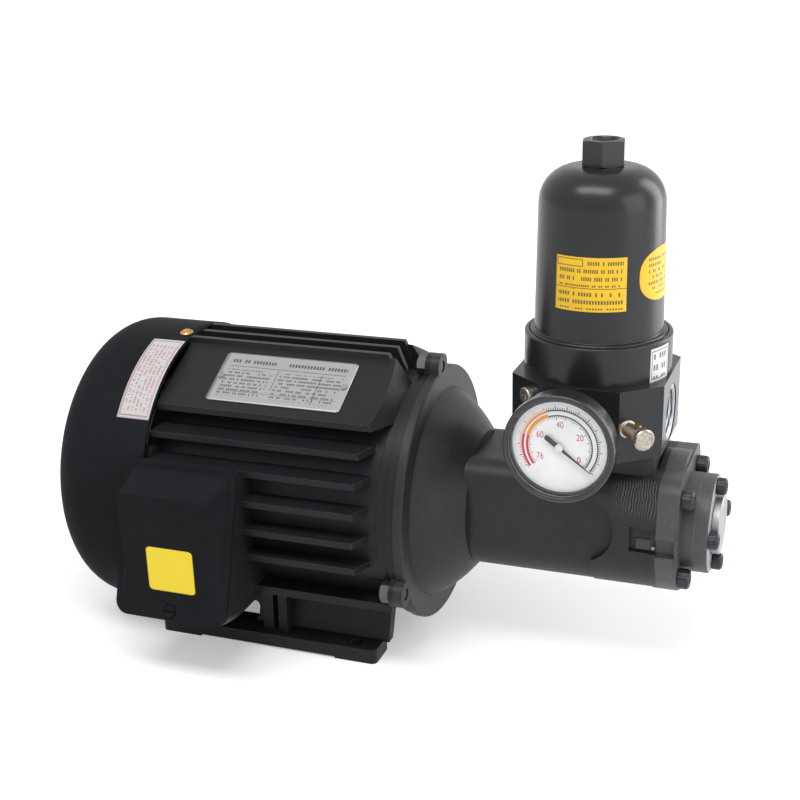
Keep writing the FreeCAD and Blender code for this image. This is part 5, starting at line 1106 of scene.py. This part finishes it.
def brass_screws(finish):
    """Domed brass screws that hold the cowl. The head's height falls with the square of the
    radius, and a cross slot is pressed in where the distance from a slot's line is small."""
    surface = Surface()
    turn = angles(64)
    near = np.abs((turn + TURN / 8) % (TURN / 4) - TURN / 8)
    rows = [(0, -5.5), (1.9, -5.5), (1.9, 0.02), (SCREW_HEAD, 0.02)]
    for radius in (3.4, 2.9, 2.2, 1.6, 1.1, 0.6, 0):
        slot = np.clip(1 - (radius * np.sin(near) / CROSS_HALF_WIDTH) ** 4, 0, 1)
        rows.append((radius, SCREW_RISE * (1 - (radius / SCREW_HEAD) ** 2)
                     - SLOT_DEPTH * slot * (radius < CROSS_REACH)))
    for degrees in COWL_SCREW_TURNS:
        y, z = around(COWL_RADIUS, degrees)
        surface.add(placed(turned(rows, 64), (COWL_SCREW_X, y, z), (0, y, z - SHAFT_HEIGHT), ALONG))
    piece(surface.mesh("cowl_screw_heads"), finish, "cowl_screws", ["cowl_screws"])


def flat_label(name, spot, up, size, corner, finish, node, **options):
    """A flat sheet along X with round corners: each row is drawn in at its ends by the corner's
    radius less the height of a quarter circle at that row. Its map covers it once."""
    u, v = np.meshgrid(np.linspace(0, 1, 30), np.linspace(0, 1, 40))
    length, width = size
    edge = np.minimum(v, 1 - v) * width
    drop = np.clip(corner - edge, 0, corner)
    pull = corner - np.sqrt(corner ** 2 - drop ** 2)
    x = (u - 0.5) * (length - 2 * pull)
    grid = (x[..., None] * np.array([1.0, 0, 0]) + (v[..., None] - 0.5) * width * np.array(up)
            + np.array(spot))
    sheet = Surface().add(grid, round_columns=False, layout=np.stack([u, v], -1))
    piece(sheet.mesh(name), finish, node, **options)


PLATE_TURN = 62.9
PLATE_WIDTH = 34.0
PLATE_THICKNESS = 0.6


def nameplate():
    """Thin metal plate on its land."""
    low, high = corners("nameplate")
    tilt = math.radians(PLATE_TURN)
    out = np.array([0, -math.cos(tilt), math.sin(tilt)])
    metal = label_paper("plate_print", tuple(colours().plate), (0.05, 0.05, 0.06), ruled_plate,
                        0.32, 0.75)
    flat_label("plate_sheet", middle("nameplate") + PLATE_THICKNESS / 2 * out,
               (0, math.sin(tilt), math.cos(tilt)), (high[0] - low[0], PLATE_WIDTH), 1.5, metal,
               "nameplate", stands_for=["nameplate"], wall=PLATE_THICKNESS * MM)


BOX_LABEL = (-27.3, 63.5)
BOX_LABEL_SIZE = (26.0, 24.0)
BOX_FACE = -98.4


def box_label(lift):
    """A plain yellow label with nothing on it, on the terminal cover's upright face."""
    paper = label_paper("box_label_paper", (0.9, 0.68, 0.015), (0.25, 0.17, 0.02), plain_yellow)
    flat_label("box_label", (BOX_LABEL[0], BOX_FACE - lift, BOX_LABEL[1]), (0, 0, 1),
               BOX_LABEL_SIZE, 2.0, paper, "terminal_cover", wall=lift * MM)


class OBJECT_OT_pump_castings(bpy.types.Operator):
    """Motor frame, adapter, pump and filter castings with rounded edges."""

    bl_idname = "object.pump_castings"
    bl_label = "Castings"

    def execute(self, context):
        size = sizes()
        for node, name, edge in (
                ("motor_frame", "frame_casting", size.edge),
                ("rear_end_shield", "shield_casting", size.edge),
                ("adapter_housing", "adapter_casting", size.edge),
                ("pump_body", "pump_end_plate", size.sheet_edge),
                ("pump_cover", "cover_casting", size.sheet_edge),
                ("filter_head", "head_casting", size.edge),
                ("terminal_box", "box_casting", size.edge),
                ("terminal_cover", "box_cover", size.edge * 2)):
            softened(node, name, FINISHES[OWN_FINISH.get(node, SLOT_OF[node])], edge)
        return {"FINISHED"}


class OBJECT_OT_pump_cowl(bpy.types.Operator):
    """Fan cowl with its brass screws."""

    bl_idname = "object.pump_cowl"
    bl_label = "Fan cowl"

    def execute(self, context):
        fan_cowl(FINISHES["sheet_black"])
        brass_screws(FINISHES["brass"])
        return {"FINISHED"}


class OBJECT_OT_pump_screws(bpy.types.Operator):
    """Socket screws, studs and nuts."""

    bl_idname = "object.pump_screws"
    bl_label = "Screws"

    def execute(self, context):
        steel = FINISHES["black_steel"]
        joint_studs(steel)
        joint_nuts(FINISHES["dull_zinc"])
        pump_screws(steel, "body_bolts", "body_screws", M6, BODY_SCREWS)
        pump_screws(steel, "cover_bolts", "cover_screws", M5, COVER_SCREWS)
        return {"FINISHED"}


class OBJECT_OT_pump_filter(bpy.types.Operator):
    """Filter bowl with its plug."""

    bl_idname = "object.pump_filter"
    bl_label = "Filter bowl"

    def execute(self, context):
        filter_bowl(FINISHES["filter_casting"])
        bowl_plug(FINISHES["plug_paint"])
        return {"FINISHED"}


class OBJECT_OT_pump_gauge(bpy.types.Operator):
    """Vacuum gauge: case, printed dial, pointer and pane."""

    bl_idname = "object.pump_gauge"
    bl_label = "Gauge"

    def execute(self, context):
        gauge_case(FINISHES["gauge_black"])
        dial_marks()
        dial_numbers()
        gauge_pointer(FINISHES["pointer"], FINISHES["aluminium"])
        gauge_window(FINISHES["glass"])
        return {"FINISHED"}


class OBJECT_OT_pump_fittings(bpy.types.Operator):
    """Vent fitting with its knob, and the thread of the suction port."""

    bl_idname = "object.pump_fittings"
    bl_label = "Fittings"

    def execute(self, context):
        vent_stem(FINISHES["nickel"])
        vent_knob(FINISHES["knob_nickel"])
        port_thread(FINISHES["machined_port"])
        return {"FINISHED"}


class OBJECT_OT_pump_labels(bpy.types.Operator):
    """Ruled labels and the nameplate."""

    bl_idname = "object.pump_labels"
    bl_label = "Labels"

    def execute(self, context):
        lift = sizes().label / MM
        filter_labels(lift)
        cowl_label(lift)
        box_label(lift)
        nameplate()
        return {"FINISHED"}


class OBJECT_OT_pump_finishes(bpy.types.Operator):
    """Makes the finishes and puts them on the solids that stay as they are."""

    bl_idname = "object.pump_finishes"
    bl_label = "Finishes"

    def execute(self, context):
        make_finishes()
        for node, solid in frame["nodes"].items():
            solid.data.materials.clear()
            solid.data.materials.append(FINISHES[OWN_FINISH.get(node, SLOT_OF[node])])
        return {"FINISHED"}


# Each lamp's name, place, aim, width, height and power in watts
LAMPS = (
    ("key", (0.02, -0.62, 1.35), (0.05, 0, 0.1), 1.2, 0.42, 13),
    ("fill", (1.3, -0.35, 0.55), (0.1, 0, 0.1), 0.9, 0.9, 6),
    ("side", (0.95, 0.7, 0.45), (0.15, 0, 0.16), 0.45, 1.3, 9),
)
WORLD_LEVEL = 0.5
FLOOR_REACH = 6.0
FLOOR_GLOW = 0.32
FLOOR_FADE = (0.4, 1.6)
FLOOR_COLOUR = (0.86, 0.86, 0.86)
CAMERA_SPOT = (0.3006, -0.6329, 0.3743)
CAMERA_AZIMUTH = 20.04
CAMERA_ELEVATION = 21.72
CAMERA_ROLL = -1.34
CAMERA_LENS = 61.79
CAMERA_SENSOR = 36
CAMERA_SHIFT = (-0.022, 0.0529)


class OBJECT_OT_pump_stage(bpy.types.Operator):
    """Floor, soft lights, world and camera."""

    bl_idname = "object.pump_stage"
    bl_label = "Stage"

    def execute(self, context):
        scene = context.scene
        scene.view_settings.view_transform = "Standard"
        floor(scene)
        sky(scene)
        for row in LAMPS:
            lamp(scene, *row)
        camera(scene)
        return {"FINISHED"}


def seen_directly(nodes):
    """1 for rays from the camera, off gloss and through glass."""
    camera_ray = nodes.node("ShaderNodeLightPath", {}, {}, "Is Camera Ray")
    rays = camera_ray.socket.node.outputs
    return camera_ray.math("MAXIMUM", Wire(nodes, rays["Is Glossy Ray"])).math(
        "MAXIMUM", Wire(nodes, rays["Is Transmission Ray"]))


def floor(scene):
    """Pale floor that brightens to white where it is seen, and keeps the shadow."""
    ring = np.linspace(0, FLOOR_REACH / MM, 8)
    mesh = Surface().add(turned([(r, 0) for r in ring], 48)).mesh("floor")
    finish = Finish("pale_floor", specular_ior_level=0.1, roughness=0.9)
    tone = finish.blend(finish.noise(3, 3), FLOOR_COLOUR, toned(FLOOR_COLOUR, 1.01))
    away = finish.node("ShaderNodeVectorMath", {"operation": "LENGTH"}, {0: finish.place()}, 1)
    glow = FLOOR_GLOW + (1 - FLOOR_GLOW) * finish.spread(away, *FLOOR_FADE)
    finish.feed(finish.shader.inputs["Emission Color"], (1, 1, 1))
    finish.feed(finish.shader.inputs["Emission Strength"], seen_directly(finish) * glow)
    mesh.materials.append(finish.shade(tone))
    made = bpy.data.objects.new("floor", mesh)
    scene.collection.objects.link(made)


def sky(scene):
    """Even white surroundings, weaker where they only light the object."""
    world = bpy.data.worlds.new("surroundings")
    world.use_nodes = True
    scene.world = world
    nodes = Nodes(world.node_tree)
    sockets = world.node_tree.nodes["Background"].inputs
    nodes.feed(sockets["Color"], (1, 1, 1))
    nodes.feed(sockets["Strength"], WORLD_LEVEL + seen_directly(nodes) * (1 - WORLD_LEVEL))


def lamp(scene, name, spot, aim, width, height, power):
    """A soft oblong lamp at a place, turned to what it lights."""
    light = bpy.data.lights.new(name, "AREA")
    light.shape = "RECTANGLE"
    light.size, light.size_y, light.energy = width, height, power
    made = bpy.data.objects.new(name, light)
    made.matrix_world = looking(spot, np.array(spot) - np.array(aim))
    scene.collection.objects.link(made)


def looking(spot, back, roll=0.0):
    """Placing of a lamp or camera whose own Z points back from what it looks at."""
    back = np.array(back, float) / np.linalg.norm(back)
    right = np.cross((0, 0, 1), back)
    right /= np.linalg.norm(right)
    up = np.cross(back, right)
    c, s = math.cos(roll), math.sin(roll)
    made = np.eye(4)
    made[:3, 0], made[:3, 1], made[:3, 2] = c * right + s * up, c * up - s * right, back
    made[:3, 3] = spot
    return Matrix(made.tolist())


def camera(scene):
    """Camera at the photograph's angle, with the photograph's lens and framing."""
    eye = bpy.data.cameras.new("camera")
    eye.sensor_width, eye.lens = CAMERA_SENSOR, CAMERA_LENS
    eye.shift_x, eye.shift_y = CAMERA_SHIFT
    eye.clip_start, eye.clip_end = 0.01, 50
    made = bpy.data.objects.new("camera", eye)
    turn, rise = math.radians(CAMERA_AZIMUTH), math.radians(CAMERA_ELEVATION)
    back = (math.sin(turn) * math.cos(rise), -math.cos(turn) * math.cos(rise), math.sin(rise))
    made.matrix_world = looking(CAMERA_SPOT, back, math.radians(CAMERA_ROLL))
    scene.collection.objects.link(made)
    scene.camera = made


STEPS = (OBJECT_OT_pump_finishes, OBJECT_OT_pump_castings, OBJECT_OT_pump_cowl,
         OBJECT_OT_pump_screws, OBJECT_OT_pump_filter, OBJECT_OT_pump_gauge,
         OBJECT_OT_pump_fittings, OBJECT_OT_pump_labels, OBJECT_OT_pump_stage)


class VIEW3D_PT_pump(bpy.types.Panel):
    """Lists the pump's sizes, colours and pieces."""

    bl_idname = "VIEW3D_PT_pump"
    bl_label = "Trochoid pump"
    bl_space_type = "VIEW_3D"
    bl_region_type = "UI"
    bl_category = "Pump"

    def draw(self, context):
        for group in (context.scene.pump_sizes, context.scene.pump_colours):
            for word in group.__annotations__:
                self.layout.prop(group, word)
        for step in STEPS:
            self.layout.operator(step.bl_idname)


CLASSES = (PumpSizes, PumpColours, *STEPS, VIEW3D_PT_pump)


def register():
    for one in CLASSES:
        bpy.utils.register_class(one)
    bpy.types.Scene.pump_sizes = bpy.props.PointerProperty(type=PumpSizes)
    bpy.types.Scene.pump_colours = bpy.props.PointerProperty(type=PumpColours)


def unregister():
    del bpy.types.Scene.pump_sizes, bpy.types.Scene.pump_colours
    for one in reversed(CLASSES):
        bpy.utils.unregister_class(one)


def main():
    """Runs every step in order."""
    register()
    bpy.ops.object.pump_finishes()
    bpy.ops.object.pump_castings()
    bpy.ops.object.pump_cowl()
    bpy.ops.object.pump_screws()
    bpy.ops.object.pump_filter()
    bpy.ops.object.pump_gauge()
    bpy.ops.object.pump_fittings()
    bpy.ops.object.pump_labels()
    bpy.ops.object.pump_stage()
    bpy.context.view_layer.update()


if __name__ == "__main__":
    main()
